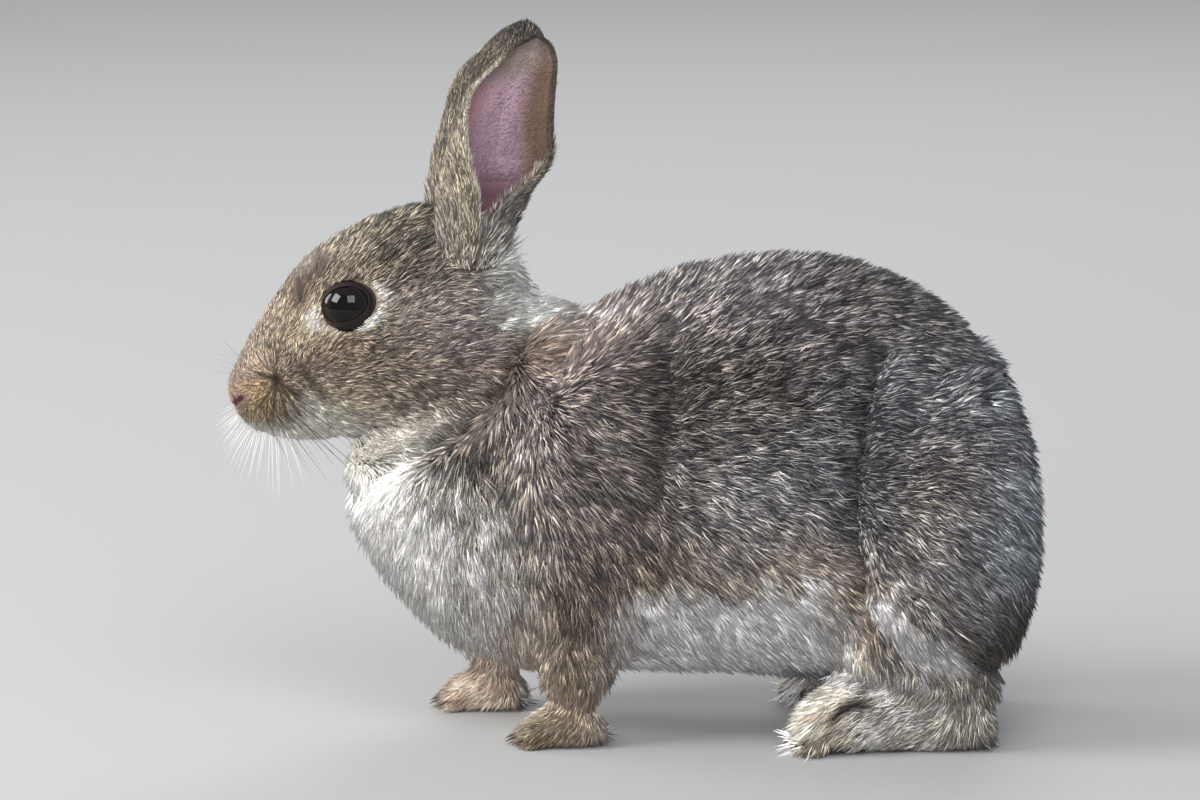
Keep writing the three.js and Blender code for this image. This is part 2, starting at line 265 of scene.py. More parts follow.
TRUNK = [
    (-86, 0, 74),
    trunk_station(-83.2, 87, 64, 13),
    trunk_station(-74, 97, 47.5, 23),
    trunk_station(-58, 108, 30, 31),
    trunk_station(-35, 119, 19.5, 36),
    trunk_station(-12, 126, 18, 39),
    trunk_station(14, 135.5, 18, 44),
    trunk_station(41, 139.5, 17, 48),
    trunk_station(67, 135.5, 15.5, 50),
    trunk_station(90, 122.5, 15, 46),
    trunk_station(104, 102, 27, 37),
    trunk_station(111.5, 84, 46, 22),
    (115.5, 0, 65),
]
NECK = [
    (-75, 0, 125, 0, 0, 0, -38),
    (-62, 0, 117, 21, 20, 20, -38),
    (-48, 0, 108, 27.5, 27, 26, -38),
    (-32, 0, 95, 28, 28, 30, -38),
    (-14, 0, 82, 0, 0, 0, -38),
]
TAIL = [
    (103, 0, 58, 0, 0, 0, -75),
    (105, 0, 51, 8, 6, 9, -78),
    (105.5, 0, 39, 8, 7, 11.5, -88),
    (103, 0, 27, 6.5, 6, 9, -105),
    (100, 0, 20, 0, 0, 0, -115),
]
SKULL = [
    (-80, 0, -1),
    (-78.6, 0, -1, 5.5, 7, 6.5),
    (-75, 0, 0, 8.7, 12.3, 11),
    (-67, 0, 0, 16, 17.6, 14),
    (-57.5, 0, 0, 22.5, 21.5, 15.5),
    (-40, 0, 0, 31.5, 27.5, 19.5, 0, 0.1),
    (-23, 0, 0, 34, 30, 23.5, 0, 0.14),
    (-6, 0, 0, 31, 26, 22, 0, 0.1),
    (7, 0, 0, 20, 16, 15),
    (13, 0, 0),
]
# The legs of the left side. The right ones are mirrored, and the right foreleg stands further forward.
SHOULDER = [
    (-14, -24, 121, 0, 0, 0, -76),
    (-14.5, -27, 113, 15, 13, 8.5, -78),
    (-15, -29, 98, 24, 22, 13, -82),
    (-16, -29, 78, 28, 26, 15, -86),
    (-15, -28, 58, 24, 24, 14.5, -92),
    (-15, -26.5, 42, 15, 15, 10, -92),
    (-15, -26, 34, 0, 0, 0, -92),
]
FORELEG = [
    (-15, -26, 62, 0, 0, 0, -90),
    (-15, -26, 50, 18, 17, 12, -90),
    (-16, -25.5, 35, 15, 14.5, 11.5, -90),
    (-18, -25, 18, 10, 10.5, 9, -90),
    (-20, -25, 4, 0, 0, 0, -90),
]
FOREPAW = [
    (-8.5, -25, 5),
    (-11.5, -25, 5, 6.5, 6, 7),
    (-20, -25, 5.5, 8, 7, 8.5),
    (-28.5, -25.5, 5, 6.5, 6.5, 8.5),
    (-34, -25.5, 4),
]
THIGH = [
    (78, -22, 110, 0, 0, 0, -58),
    (81.5, -25.5, 103, 19, 15, 13.5, -66),
    (85.5, -30, 89, 25.5, 27, 20.5, -76),
    (87, -32.5, 71, 27.5, 31, 24.5, -86),
    (85.5, -33.5, 51, 28, 29.5, 23.5, -95),
    (82, -34, 35, 24, 22, 18, -105),
    (82.5, -33, 23, 0, 0, 0, -110),
]
SHANK = [
    (57, -36, 33, 0, 0, 0, -18),
    (62, -36, 33, 9, 9, 9, -18),
    (80, -34, 28.5, 13, 11, 11, -18),
    (98, -30.5, 20, 10, 10, 9, -24),
    (104, -30, 16.5, 0, 0, 0, -24),
]
HINDFOOT = [
    (103.5, -30, 8),
    (99.5, -30, 9, 9.5, 10, 8),
    (87, -30.5, 10.5, 11, 12, 9),
    (71, -31.5, 12, 12, 13.5, 10.5),
    (58, -33, 11, 12, 12.5, 12),
    (48, -33.5, 8, 7, 8, 9),
    (44, -33.5, 7),
]
STRIDE = -23.0


def toes(x, y, z, spread, length, half, up):
    """Four short lofts side by side. The middle ones reach furthest."""
    made = []
    for side in (-1.5, -0.5, 0.5, 1.5):
        reach = length * (1 - 0.16 * abs(side))
        root_y, tip_y = y + side * spread, y + side * spread * 1.1
        made.append([
            (x, root_y, z),
            (x - 3, root_y, z, up, z + 1, half),
            (x - reach + 5, tip_y, z * 0.85, up * 0.85, z + 1, half),
            (x - reach + 1.5, tip_y, z * 0.6, up * 0.5, (z + 1) * 0.6, half * 0.7),
            (x - reach, tip_y, z * 0.6),
        ])
    return made


HIND_TOES = toes(56, -33.5, 8, 5, 15, 4.2, 9.5)
FORE_TOES = toes(-26, -25.5, 5, 4.1, 12, 3.4, 5.5)

# %% [markdown]
# ## One skin over all of them
# The lofts overlap like a sculptor's lumps of clay. Remesh in voxel mode is a good way to fuse them,
# because it keeps only the outer surface and needs no clean seams. It leaves small steps and sharp
# valleys, so every point is then moved a little towards the mean of its neighbours, several times.

# %% Fuse the lofts and smooth them
VOXEL = 1.4


def both_sides(stations, stride=0.0, **options):
    """A left part, and its mirror image moved along the body by a stride."""
    left = loft(stations, **options)
    right = left * (1, -1, 1) + (stride, 0, 0)
    return [left, right[:, ::-1]]


def fused(lofts, voxel):
    """All lofts as one mesh of quads about a voxel wide."""
    points, faces, start = [], [], 0
    for one in lofts:
        rows, columns, _ = one.shape
        points.append(one.reshape(-1, 3))
        faces.append(grid_faces(rows, columns) + start)
        start += rows * columns
    made = mesh_object("skin", np.concatenate(points), np.concatenate(faces))
    built = bmesh.new()
    built.from_mesh(made.data)
    bmesh.ops.remove_doubles(built, verts=built.verts, dist=1e-7)
    bmesh.ops.recalc_face_normals(built, faces=built.faces)
    built.to_mesh(made.data)
    built.free()
    remesh = made.modifiers.new("fuse", "REMESH")
    remesh.mode = "VOXEL"
    remesh.voxel_size = voxel * MM
    apply_modifiers(made)
    return made


def smoothed(made, points, amount, rounds):
    """Each round moves a point by amount towards the mean of the points that it shares an edge with."""
    a, b = edges_of(made).T
    ends, others = np.concatenate((a, b)), np.concatenate((b, a))
    count = np.maximum(np.bincount(ends, minlength=len(points)), 1)[:, None]
    for _ in range(rounds):
        mean = np.stack([np.bincount(ends, points[others, k], len(points)) for k in range(3)], -1) / count
        points = points + amount * (mean - points)
    return points


lofts = [loft(TRUNK, 72, 10, 2.1), loft(NECK), loft(TAIL, 30), from_skull(loft(SKULL, 64, 10))]
lofts += both_sides(SHOULDER, STRIDE / 3) + both_sides(THIGH) + both_sides(SHANK) + both_sides(HINDFOOT)
lofts += both_sides(FORELEG, STRIDE) + both_sides(FOREPAW, STRIDE)
for toe in HIND_TOES:
    lofts += both_sides(toe, sides=24)
for toe in FORE_TOES:
    lofts += both_sides(toe, STRIDE, sides=20)
skin = fused(lofts, VOXEL)


def head_share(p):
    """1 on the head and 0 on the body, by the distance from an egg round the skull."""
    q = (to_skull(p) - (-33, 0, 1)) / (49, 27, 36)
    return 1 - step(0.97, 1.2, np.linalg.norm(q, axis=1))


def foot_share(p):
    """1 on the feet and lower legs, 0 on the body."""
    fore = (1 - step(20, 42, p[:, 2])) * (1 - step(-8, 4, p[:, 0])) * step(10, 15, np.abs(p[:, 1]))
    hind = (1 - step(20, 30, p[:, 2])) * step(38, 44, p[:, 0]) * step(18, 24, np.abs(p[:, 1]))
    return np.maximum(fore, hind)


outline = points_of(skin)
calm = smoothed(skin, outline, 0.5, 14)
crisp = smoothed(skin, outline, 0.5, 6)
share = np.maximum(head_share(outline), foot_share(outline))[:, None]
outline = calm + (crisp - calm) * share
outline[:, 2] = np.maximum(outline[:, 2], 0)
move_points(skin, outline)
print("fused body:", len(skin.data.vertices), "points")

# %% [markdown]
# ## The chart of the coat
# A coat has a lie: at each place the hair points one way, has one length and stands up by some
# height. A groomer's chart says this in words. Here each row names a place, the way the hair points
# there, its length and the depth of the coat. Anywhere between, the rows are mixed by their
# distance, like a warm spot fading into a cold one. The right side reads the left side's chart as a
# mirror image, and the head has a chart of its own along the skull.

# %% Chart the lie, length and depth
# place, pointing, length, depth, spread
BODY_CHART = [
    ((-36, -8, 128), (0.8, 0, 0.35), 11, 6, 9),  # fringe of the nape
    ((-15, -10, 126), (1, 0, 0.1), 8.5, 5, 12),  # withers
    ((14, -12, 133), (1, 0, 0.25), 6.4, 4.4, 16),  # back
    ((41, -12, 138), (1, 0, 0.05), 6.2, 4.2, 16),  # loin
    ((67, -12, 134), (1, 0, -0.2), 6.2, 4.2, 16),  # hips
    ((90, -12, 121), (0.85, 0, -0.5), 6.5, 4.2, 14),  # croup
    ((107, -12, 92), (0.35, 0, -1), 7, 4.2, 13),  # rump
    ((114, -8, 66), (0, 0, -1), 7.5, 4.4, 12),  # buttocks
    ((-15, -34, 118), (1, 0, -0.1), 7, 4.6, 10),  # fold on the shoulder
    ((-15, -42, 90), (0.85, 0, -0.5), 7.5, 4.6, 14),  # shoulder
    ((-10, -42, 60), (0.5, 0, -0.85), 8, 4.5, 13),  # elbow
    ((15, -42, 105), (1, 0, 0.05), 6.2, 4.4, 16),  # ribs
    ((22, -46, 82), (1, 0, -0.2), 7, 4.6, 12),  # lower ribs
    ((35, -48, 65), (0.9, 0, -0.42), 7.5, 4.8, 14),  # flank
    ((15, -44, 44), (0.75, 0, -0.66), 9, 5.2, 14),  # lower flank
    ((38, -42, 30), (0.75, 0, -0.66), 10, 5, 12),  # groin
    ((15, -12, 18), (1, 0, -0.1), 8, 4.5, 14),  # belly
    ((50, -12, 17), (1, 0, -0.1), 8, 4.5, 14),  # belly
    ((-83, -6, 76), (-0.2, 0, -1), 11, 6, 11),  # breast
    ((-70, -8, 42), (0.15, 0, -1), 11, 6, 12),  # lower breast
    ((-76, -8, 98), (-0.1, 0, -1), 10, 5.5, 11),  # throat
    ((-46, -27, 100), (0.4, 0, -0.9), 8.5, 4.8, 11),  # side of the neck
    ((-60, -29, 78), (0.1, 0, -1), 9.5, 5.5, 13),  # side of the breast
    ((-42, -34, 70), (0.25, 0, -1), 8.5, 5, 11),  # before the shoulder
    ((-42, -32, 48), (0.2, 0, -1), 9.5, 5, 11),  # before the forearm
    ((-45, 0, 24), (0.3, 0, -1), 8, 4, 10),  # between the forelegs
    ((85, -36, 107), (1, 0, -0.15), 6.5, 4.2, 14),  # top of the haunch
    ((88, -57, 76), (0.92, 0, -0.35), 7, 4.2, 14),  # haunch
    ((68, -50, 88), (0.9, 0, 0.1), 5.5, 3.6, 8),  # front edge of the haunch
    ((66, -50, 58), (0.9, 0, -0.3), 6, 3.8, 9),  # lower front edge of the haunch
    ((82, -54, 45), (0.8, 0, -0.6), 7.5, 4.4, 13),  # lower haunch
    ((108, -38, 66), (0.45, 0, -0.9), 7.5, 4.4, 13),  # back of the haunch
    ((108, -30, 36), (0.1, 0, -1), 8, 4.5, 11),  # seat
    ((62, -43, 36), (0.5, 0, -0.85), 8, 3.8, 8),  # knee
    ((80, -47, 34), (0.75, 0, -0.65), 8, 3.6, 8),  # shank
    ((100, -36, 16), (0.2, 0, -1), 6, 3, 8),  # hock
    ((78, -42, 12), (-0.95, 0, -0.3), 4.6, 2.0, 9),  # side of the hind foot
    ((66, -32, 22), (-1, 0, -0.05), 4.8, 2.4, 8),  # instep
    ((50, -34, 14), (-0.9, 0, -0.45), 6, 3.4, 7),  # hind toes
    ((-16, -37, 40), (0.05, 0, -1), 7.5, 3.6, 10),  # forearm
    ((-20, -33, 20), (0, 0, -1), 5.5, 2.6, 8),  # wrist
    ((-29, -28, 9), (-0.85, 0, -0.5), 4, 1.8, 7),  # fore paw
    ((108, -4, 44), (0.3, 0, -1), 10, 4, 9),  # tail
]
HEAD_CHART = [
    ((-79, -3, 2), (0.5, 0, 1), 1.1, 0.6, 3.5),  # nose
    ((-72, -5, 10), (0.9, 0, 0.75), 2, 0.9, 6),  # front of the bridge
    ((-60, -6, 19), (1, 0, 0.5), 2.8, 1.2, 8),  # bridge
    ((-44, -7, 29), (1, 0, 0.3), 3.6, 1.7, 9),  # forehead
    ((-25, -9, 33), (1, 0, 0.1), 4.6, 2.4, 9),  # crown
    ((-8, -6, 31), (1, 0, -0.1), 6, 3, 9),  # between the ears
    ((7, -8, 17), (0.8, 0, -0.1), 10, 5, 9),  # behind the ears
    ((-66, -12, 7), (0.3, 0, 1), 1.9, 0.9, 4),  # above the whorl
    ((-60, -14, 4), (1, 0, 0.6), 2.6, 1.2, 4),  # behind the whorl
    ((-73, -10, 4), (-0.9, 0, 0.3), 1.7, 0.8, 3.5),  # before the whorl
    ((-76, -8, -3), (-0.7, 0, -0.7), 2.4, 1.2, 4),  # front of the pad
    ((-71, -10, -9), (-0.15, 0, -1), 3, 1.4, 4.5),  # bottom of the pad
    ((-64, -12, -7), (0.5, 0, -0.85), 3.2, 1.4, 4.5),  # back of the pad
    ((-55, -16, 0), (1, 0, 0.1), 3, 1.3, 6),  # behind the pad
    ((-42, -19, 1), (1, 0, 0.05), 4, 1.8, 8),  # below the eye
    ((-25, -23, -3), (1, 0, -0.1), 5.2, 2.4, 10),  # cheek
    ((-10, -23, -12), (0.9, 0, -0.35), 7, 3.6, 9),  # back of the cheek
    ((-25, -21, -20), (0.85, 0, -0.5), 6.5, 3.2, 8),  # lower edge of the cheek
    ((-46, -17, -13), (0.95, 0, -0.35), 5, 2.2, 8),  # jaw
    ((-60, -8, -19), (0.75, 0, -0.5), 5, 2.4, 7),  # lower jaw
    ((-74, -4, -13), (0.1, 0, -1), 3.4, 1.6, 4.5),  # chin
    ((-30, -6, -28), (0.8, 0, -0.6), 8, 4, 10),  # throat
    ((-18, -18, 20), (1, 0, 0.1), 4.6, 2.2, 8),  # temple
    ((-27, -21, 11), (1, 0, 0), 4, 1.8, 6),  # behind the eye
    ((-38, -16, 25), (1, 0, 0.4), 2.8, 1.2, 6),  # brow
    ((-50, -14, 13), (0.8, 0, 0.6), 2.5, 1.1, 6),  # before the eye
    ((-4, -20, 8), (0.8, 0, -0.3), 6, 3.2, 8),  # below the ear
]
WHORL = np.array([-65.4, -12.5, 2.7])  # where the hair of the whisker pad starts from


def shares(places, where, spread):
    """How much each row counts at each place: exp(-(distance / spread)^2 / 2), summing to 1."""
    apart = ((places[:, None, :] - where) ** 2).sum(-1)
    weight = np.exp(-0.5 * apart / spread**2) + 1e-12 / (apart + 1)
    weight /= weight.sum(1, keepdims=True)
    return weight


def read_chart(rows, places):
    """Mean of the rows, each counted by its share."""
    where, points, length, depth, spread = (np.array([row[k] for row in rows], float) for k in range(5))
    weight = shares(places, where, spread)
    return weight @ unit(points), weight @ length, weight @ depth


def unstride(p):
    """Takes the right foreleg back to where its mirror image stands."""
    back = -STRIDE * step(6, 14, p[:, 1]) * (1 - step(40, 75, p[:, 2])) * (1 - step(5, 30, p[:, 0]))
    return p + back[:, None] * (1, 0, 0)


def along(p, a, b):
    """The distance of places from the segment a-b, and how far along it they lie, from 0 to 1."""
    a, b = np.array(a, float), np.array(b, float)
    t = np.clip(((p - a) @ (b - a)) / ((b - a) @ (b - a)), 0, 1)
    return np.linalg.norm(p - (a + t[:, None] * (b - a)), axis=1), t


def near_path(p, path):
    """The distance of places from the nearest piece of a path, as seen from the side."""
    flat, points = p[:, ::2], [np.array(point)[::2] for point in path]
    return np.min([along(flat, a, b)[0] for a, b in zip(points, points[1:])], axis=0)


# Folds of the loose skin, on the left side.
HAUNCH_FOLD = [(68, -48, 114), (63, -50, 100), (60.5, -51, 85), (60, -51, 70), (63, -49, 50)]
LOIN_FOLD = [(28, -30, 130), (43, -37, 125), (57, -44, 117), (68, -48, 113)]
CHEEK_FOLD = [
    (-35, -23, 131), (-35, -27, 118), (-39, -29, 105),
    (-47, -29, 95), (-60, -24, 86), (-73, -14, 80),
]
SHOULDER_RIDGE = [(-32, -25, 121), (-20, -32, 123), (-6, -36, 121), (2, -38, 116)]
SHOULDER_REAR = [(5, -39, 114), (7, -42, 97), (2, -43, 72)]
SHOULDER_FRONT = [(-45, -30, 84), (-37, -33, 74), (-30, -35, 62)]


def coat_at(p, normals):
    """The lie of the coat as unit vectors along the surface, its length and its depth."""
    left = to_left(p)
    body = list(read_chart(BODY_CHART, unstride(p) * left))
    parted = bell(near_path(p * left, HAUNCH_FOLD), 4)
    parted = np.maximum(parted, 0.8 * bell(near_path(p * left, CHEEK_FOLD), 3.5))
    parted *= step(12, 20, np.abs(p[:, 1]))
    skull = to_skull(p)
    mirror = to_left(skull)
    head = list(read_chart(HEAD_CHART, skull * mirror))
    # hair climbs on to the front and the side of each ear
    q = (p - PIVOT) @ HEAD_TURN * mirror
    climb = (1 - step(8.5, 13, along(q, (-6, -11, 0), (-3.2, -13.5, 30))[0])) * (1 - step(0, 7, q[:, 0]))
    climb = (climb * step(10, 17, q[:, 2]))[:, None]
    head[0] = head[0] * (1 - climb) + climb * np.array([0.35, -0.1, 1])
    # hair parts round the eye
    from_eye = skull * mirror - (EYE[0], -18, EYE[2])
    by_eye = bell(np.linalg.norm(from_eye, axis=1), 9)[:, None]
    head_lie = head[0] + 0.8 * by_eye * unit(from_eye)
    # hair runs out from the whorl of the whisker pad on all sides
    out = skull * mirror - WHORL
    by_whorl = bell(np.linalg.norm(out[:, ::2], axis=1), 9)[:, None]
    head_lie = head_lie * (1 - by_whorl) + 1.5 * by_whorl * unit(out * (1, 0.2, 1))
    h = head_share(p)
    lie = body[0] * left * (1 - h[:, None]) + (head_lie * mirror) @ SKULL_TURN.T * h[:, None]
    lie -= (lie * normals).sum(1, keepdims=True) * normals
    length, depth = (body[k] * (1 - h) + head[k] * h for k in (1, 2))
    return unit(lie), length * (1 - 0.45 * parted), depth * (1 - 0.4 * parted)


# %% [markdown]
# ## Under the coat
# A rabbit is slimmer than it looks: its skin lies inside its outline by the depth of the coat. So
# each point of the fused body moves inwards by the depth in the chart. The muzzle and the eyes need
# finer quads than the trunk, so the front of the head is subdivided once. Then a few soft mounds and
# hollows are pressed into it, as a thumb would: brows, cheeks, whisker pads, lips and nostrils.

# %% Move the skin under the coat and model the face
normals = normals_of(skin)
depth = coat_at(outline, normals)[2]
move_points(skin, smoothed(skin, outline - normals * depth[:, None], 0.4, 3))


def refine(made, wanted):
    """Subdivides the faces whose middles satisfy `wanted`, a function of (n, 3) places in mm."""
    built = bmesh.new()
    built.from_mesh(made.data)
    middles = np.array([face.calc_center_median() for face in built.faces]) / MM - SHIFT
    chosen = wanted(middles)
    edges = {edge for face, keep in zip(built.faces, chosen) if keep for edge in face.edges}
    ordered = sorted(edges, key=lambda edge: edge.index)
    bmesh.ops.subdivide_edges(built, edges=ordered, cuts=1, smooth=0, use_grid_fill=True)
    bmesh.ops.triangulate(built, faces=built.faces)
    built.to_mesh(made.data)
    built.free()


def fine_face(p):
    """The muzzle, and a ring round each eye."""
    q = to_skull(p)
    by_eye = np.linalg.norm(on_left(q) - (-38.2, -16, 14), axis=1) < 14
    return (head_share(p) > 0.5) & ((q[:, 0] < -56) | by_eye)


def finest_face(p):
    """The nose and the lips, which are subdivided once more."""
    q = to_skull(p)
    return (head_share(p) > 0.5) & (q[:, 0] < -71) & (np.abs(q[:, 2]) < 9)


refine(skin, fine_face)
refine(skin, finest_face)

# place along the skull (|y|), height, radius
MOUNDS = [
    ((-47, 4, 26), 0.9, 11),  # forehead
    ((-38.2, 17, 14), -0.8, 6.5),  # eye socket
    ((-40, 14, 25), 1.1, 6),  # brow
    ((-37, 20, 4), 0.5, 5),  # below the eye
    ((-24, 22, -6), 1.2, 14),  # cheek
    ((-69, 10, -5), 1.3, 6),  # whisker pad
    ((-57, 15, 0), -1.1, 5),  # behind the pad
    ((-65.4, 12.5, 2.6), -1.2, 2.2),  # whorl
    ((-78, 3, 4), 0.5, 3.5),  # nose
    ((-66, 0, -17), 0.5, 5),  # chin
]
# from, to, height, radius
CREASES = [
    ((-79.5, 0, -3), (-75, 0, -12), -1.5, 1.1),  # cleft of the lip
    ((-76, 1.5, -11), (-63, 11, -14), -1.1, 1.3),  # mouth
    ((-76.2, 5.2, 1.0), (-79.2, 3.8, -1.8), -1.8, 0.9),  # nostril
]
# On the body, for the left side: a path, a height and a radius.
BODY_FOLDS = [
    (HAUNCH_FOLD, -3.8, 3.0),
    ([(71, -54, 106), (68, -56, 88), (68, -56, 64)], 1.5, 5),  # front of the haunch
    (LOIN_FOLD, -1.8, 2.6),
    (CHEEK_FOLD, -4.0, 3.6),
    (SHOULDER_RIDGE, 2.4, 4.5),
    (SHOULDER_REAR, -1.6, 4.5),
    (SHOULDER_FRONT, -1.6, 3.2),
]


def body_folds(p):
    """The height of all folds of the trunk, mirrored to both sides."""
    left = unstride(p) * to_left(p)
    height = sum(rise * bell(near_path(left, path), radius) for path, rise, radius in BODY_FOLDS)
    return height * step(9, 17, -left[:, 1])


def folds(q):
    """The height of all mounds and creases at skull places q."""
    q = np.stack((q[:, 0], np.abs(q[:, 1]), q[:, 2]), -1)
    height = np.zeros(len(q))
    for place, rise, radius in MOUNDS:
        height += rise * np.exp(-((q - place) ** 2).sum(1) / radius**2)
    for a, b, rise, radius in CREASES:
        height += rise * bell(along(q, a, b)[0], radius)
    return height


points, normals = points_of(skin), normals_of(skin)
h = head_share(points)
height = folds(to_skull(points)) * h + body_folds(points) * (1 - 0.6 * h)
move_points(skin, points + normals * height[:, None])
print("skin:", len(skin.data.polygons), "triangles")

# %% [markdown]
# ## The ears
# An ear is a rolled sheet of gristle. A sheet with Solidify would do, but the rims of a real ear are
# rounded and the wall gets thinner upwards. So each section is worked out as a closed loop: along an
# arc at the outer radius, round the rim, back at the inner radius and round the other rim. Stacked
# sections make a closed wall. The same function also gives a place on either face of it, which is
# where the hair will be rooted.

# %% Roll the ears
# middle of the arc x, y, z, radius, depth against the radius, degrees to the front and to the back rim
EAR = np.array([
    (-7, -9.5, 3, 6, 1, 178, 169, 1),
    (-5.4, -11.8, 14, 8.4, 1, 178, 169, 1.1),
    (-3.4, -13.5, 25, 10, 1, 170, 165, 1.1),
    (-1.2, -15, 33, 12, 0.9, 157, 140, 1),
    (2.0, -16.5, 41, 14, 0.82, 136, 96, 0.95),
    (4.4, -17.5, 50, 14.2, 0.76, 115, 68, 0.9),
    (6.8, -18.5, 61, 13.2, 0.66, 97, 60, 0.85),
    (10.2, -18.5, 69, 9.4, 0.6, 88, 62, 0.8),
    (11.8, -18.2, 74, 5.6, 0.6, 84, 64, 0.8),
    (12.8, -18, 76.6, 1.6, 0.6, 80, 64, 0.7),
])
EAR_WALL = 0.75  # half of the wall's thickness, without the hair
EAR_ROOT = 0.4  # the shell starts here, inside the skull


def ear_place(side, u, share, out):
    """Point = arc's middle + (radius + out) at an angle, and share runs from 0, the front rim, to 1."""
    x, y, z, radius, deep, front, back, thick = through(EAR, np.clip(u, 0, len(EAR) - 1)).T
    turn = np.radians(-front + share * (front + back))
    reach = np.maximum(radius + out * thick, 0.3)
    lean = 1.2 * step(2, 5, u) if side > 0 else 0.0
    p = np.stack((x + lean + reach * np.sin(turn), y + reach * np.cos(turn) * deep, z), -1)
    return from_skull(p * (1, -side, 1), HEAD_TURN)


def ear_shell(side, rows=60, across=44, rim=5):
    """The closed wall of one ear as a grid of section loops."""
    arc = np.linspace(0, 1, across)
    bend = np.linspace(0, np.pi, rim + 2)[1:-1]
    share = np.concatenate((arc, np.ones(rim), arc[::-1], np.zeros(rim)))
    over = np.concatenate((arc * 0, np.sin(bend), arc * 0, -np.sin(bend)))
    out = np.concatenate((np.ones(across), np.cos(bend), -np.ones(across), -np.cos(bend)))
    u = np.linspace(EAR_ROOT, len(EAR) - 1, rows)
    rows_u, columns = np.repeat(u, len(share)), len(share)
    radius, span = through(EAR, rows_u)[:, 3], through(EAR, rows_u)[:, 5:7].sum(1)
    shared = np.tile(share, rows) + np.tile(over, rows) * EAR_WALL / (np.radians(span) * radius)
    out = np.tile(out, rows)
    points = ear_place(side, rows_u, shared, out * EAR_WALL)
    return points.reshape(rows, columns, 3), np.column_stack((rows_u, np.tile(share, rows), out))


def capped(grid):
    """The points and triangles of a grid of loops with a middle point at each end."""
    rows, columns, _ = grid.shape
    quads = grid_faces(rows, columns)
    points = np.concatenate((grid.reshape(-1, 3), [grid[0].mean(0), grid[-1].mean(0)]))
    k = np.arange(columns)
    n = (k + 1) % columns
    last = (rows - 1) * columns
    ends = [np.stack((n, k, k * 0 + rows * columns), -1)]
    ends.append(np.stack((last + k, last + n, k * 0 + rows * columns + 1), -1))
    return points, np.concatenate((quads[:, [0, 1, 2]], quads[:, [0, 2, 3]], *ends))


def outward(points, faces):
    """The same faces, turned round if they enclose a negative volume."""
    a, b, c = (points[faces[:, k]] for k in range(3))
    return faces if (a * np.cross(b, c)).sum() > 0 else faces[:, ::-1]


def join(made, other, operation="UNION"):
    """Fuses two closed meshes into one."""
    union = made.modifiers.new("join", "BOOLEAN")
    union.operation, union.solver, union.object = operation, "MANIFOLD", other
    apply_modifiers(made)
    bpy.data.objects.remove(other)


def store(made, name, values):
    """Stores one number for each vertex under a name."""
    layer = made.data.attributes.new(name, "FLOAT", "POINT")
    layer.data.foreach_set("value", np.asarray(values, np.float32))


def stored(made, name):
    """Reads such numbers back."""
    values = np.zeros(len(made.data.vertices), np.float32)
    if name in made.data.attributes:
        made.data.attributes[name].data.foreach_get("value", values)
    return values.astype(float)


SIDES = {"left": -1, "right": 1}
EAR_TAGS = ("ear_u", "ear_share", "ear_out")
for name, side in SIDES.items():
    grid, tags = ear_shell(side)
    points, faces = capped(grid)
    ear = mesh_object("ear_" + name, points, outward(points, faces))
    ends = tags[[0, -1]] * (1, 1, 0)
    for tag, values in zip(EAR_TAGS, np.concatenate((tags, ends)).T):
        store(ear, tag, values)
    join(skin, ear)
built = bmesh.new()
built.from_mesh(skin.data)
bmesh.ops.triangulate(built, faces=built.faces)
built.to_mesh(skin.data)
built.free()
skin.data.polygons.foreach_set("use_smooth", np.ones(len(skin.data.polygons), bool))
ear_u, ear_share, ear_out = (stored(skin, tag) for tag in EAR_TAGS)
on_ears = ear_u > 0.1
ends = edges_of(skin)
seam = np.unique(ends[on_ears[ends[:, 0]] != on_ears[ends[:, 1]]])
points = points_of(skin)
close = np.flatnonzero((points[:, 2] > 125) & (ear_u < 2.4))
apart = np.min(np.linalg.norm(points[close, None] - points[None, seam[::3]], axis=-1), axis=1)
fillet = np.zeros((len(points), 1))
fillet[close, 0] = 1 - step(1.5, 6, apart)
move_points(skin, points + (smoothed(skin, points, 0.5, 20) - points) * fillet)
print("on the ears:", int(on_ears.sum()), "points")
print("skin with ears:", len(skin.data.polygons), "triangles")

# %% [markdown]
# ## The markings
# The colour at a place is painted in layers, as with a brush: first a soft mix of the colours charted
# over the body, then the marks that have an edge, each with a mask from 0 to 1. Some of these layers
# are painted light: shade in the folds and creases, and rim light on the pale nape and breast. Skin and
# coat both read this one function, so no bare spot can show a wrong colour. Colours are written as they
# look on a screen and turned into amounts of light at once, because light is what a shader adds up.

# %% Paint the markings


def light(red, green, blue):
    """Screen colours from 0 to 255 as amounts of light, with the screen's power of about 2.4."""
    c = np.array([red, green, blue], float) / 255
    return np.where(c <= 0.04045, c / 12.92, ((c + 0.055) / 1.055) ** 2.4)


def ripple(p, size, seed):
    """Soft noise of unit strength: twelve sine waves of about that size, in random directions."""
    rng = np.random.default_rng(seed)
    wave = unit(rng.normal(size=(12, 3))) * rng.uniform(0.6, 1.4, (12, 1)) * 2 * np.pi / size
    return np.sin(p @ wave.T + rng.uniform(0, 2 * np.pi, 12)).sum(1) / math.sqrt(6)


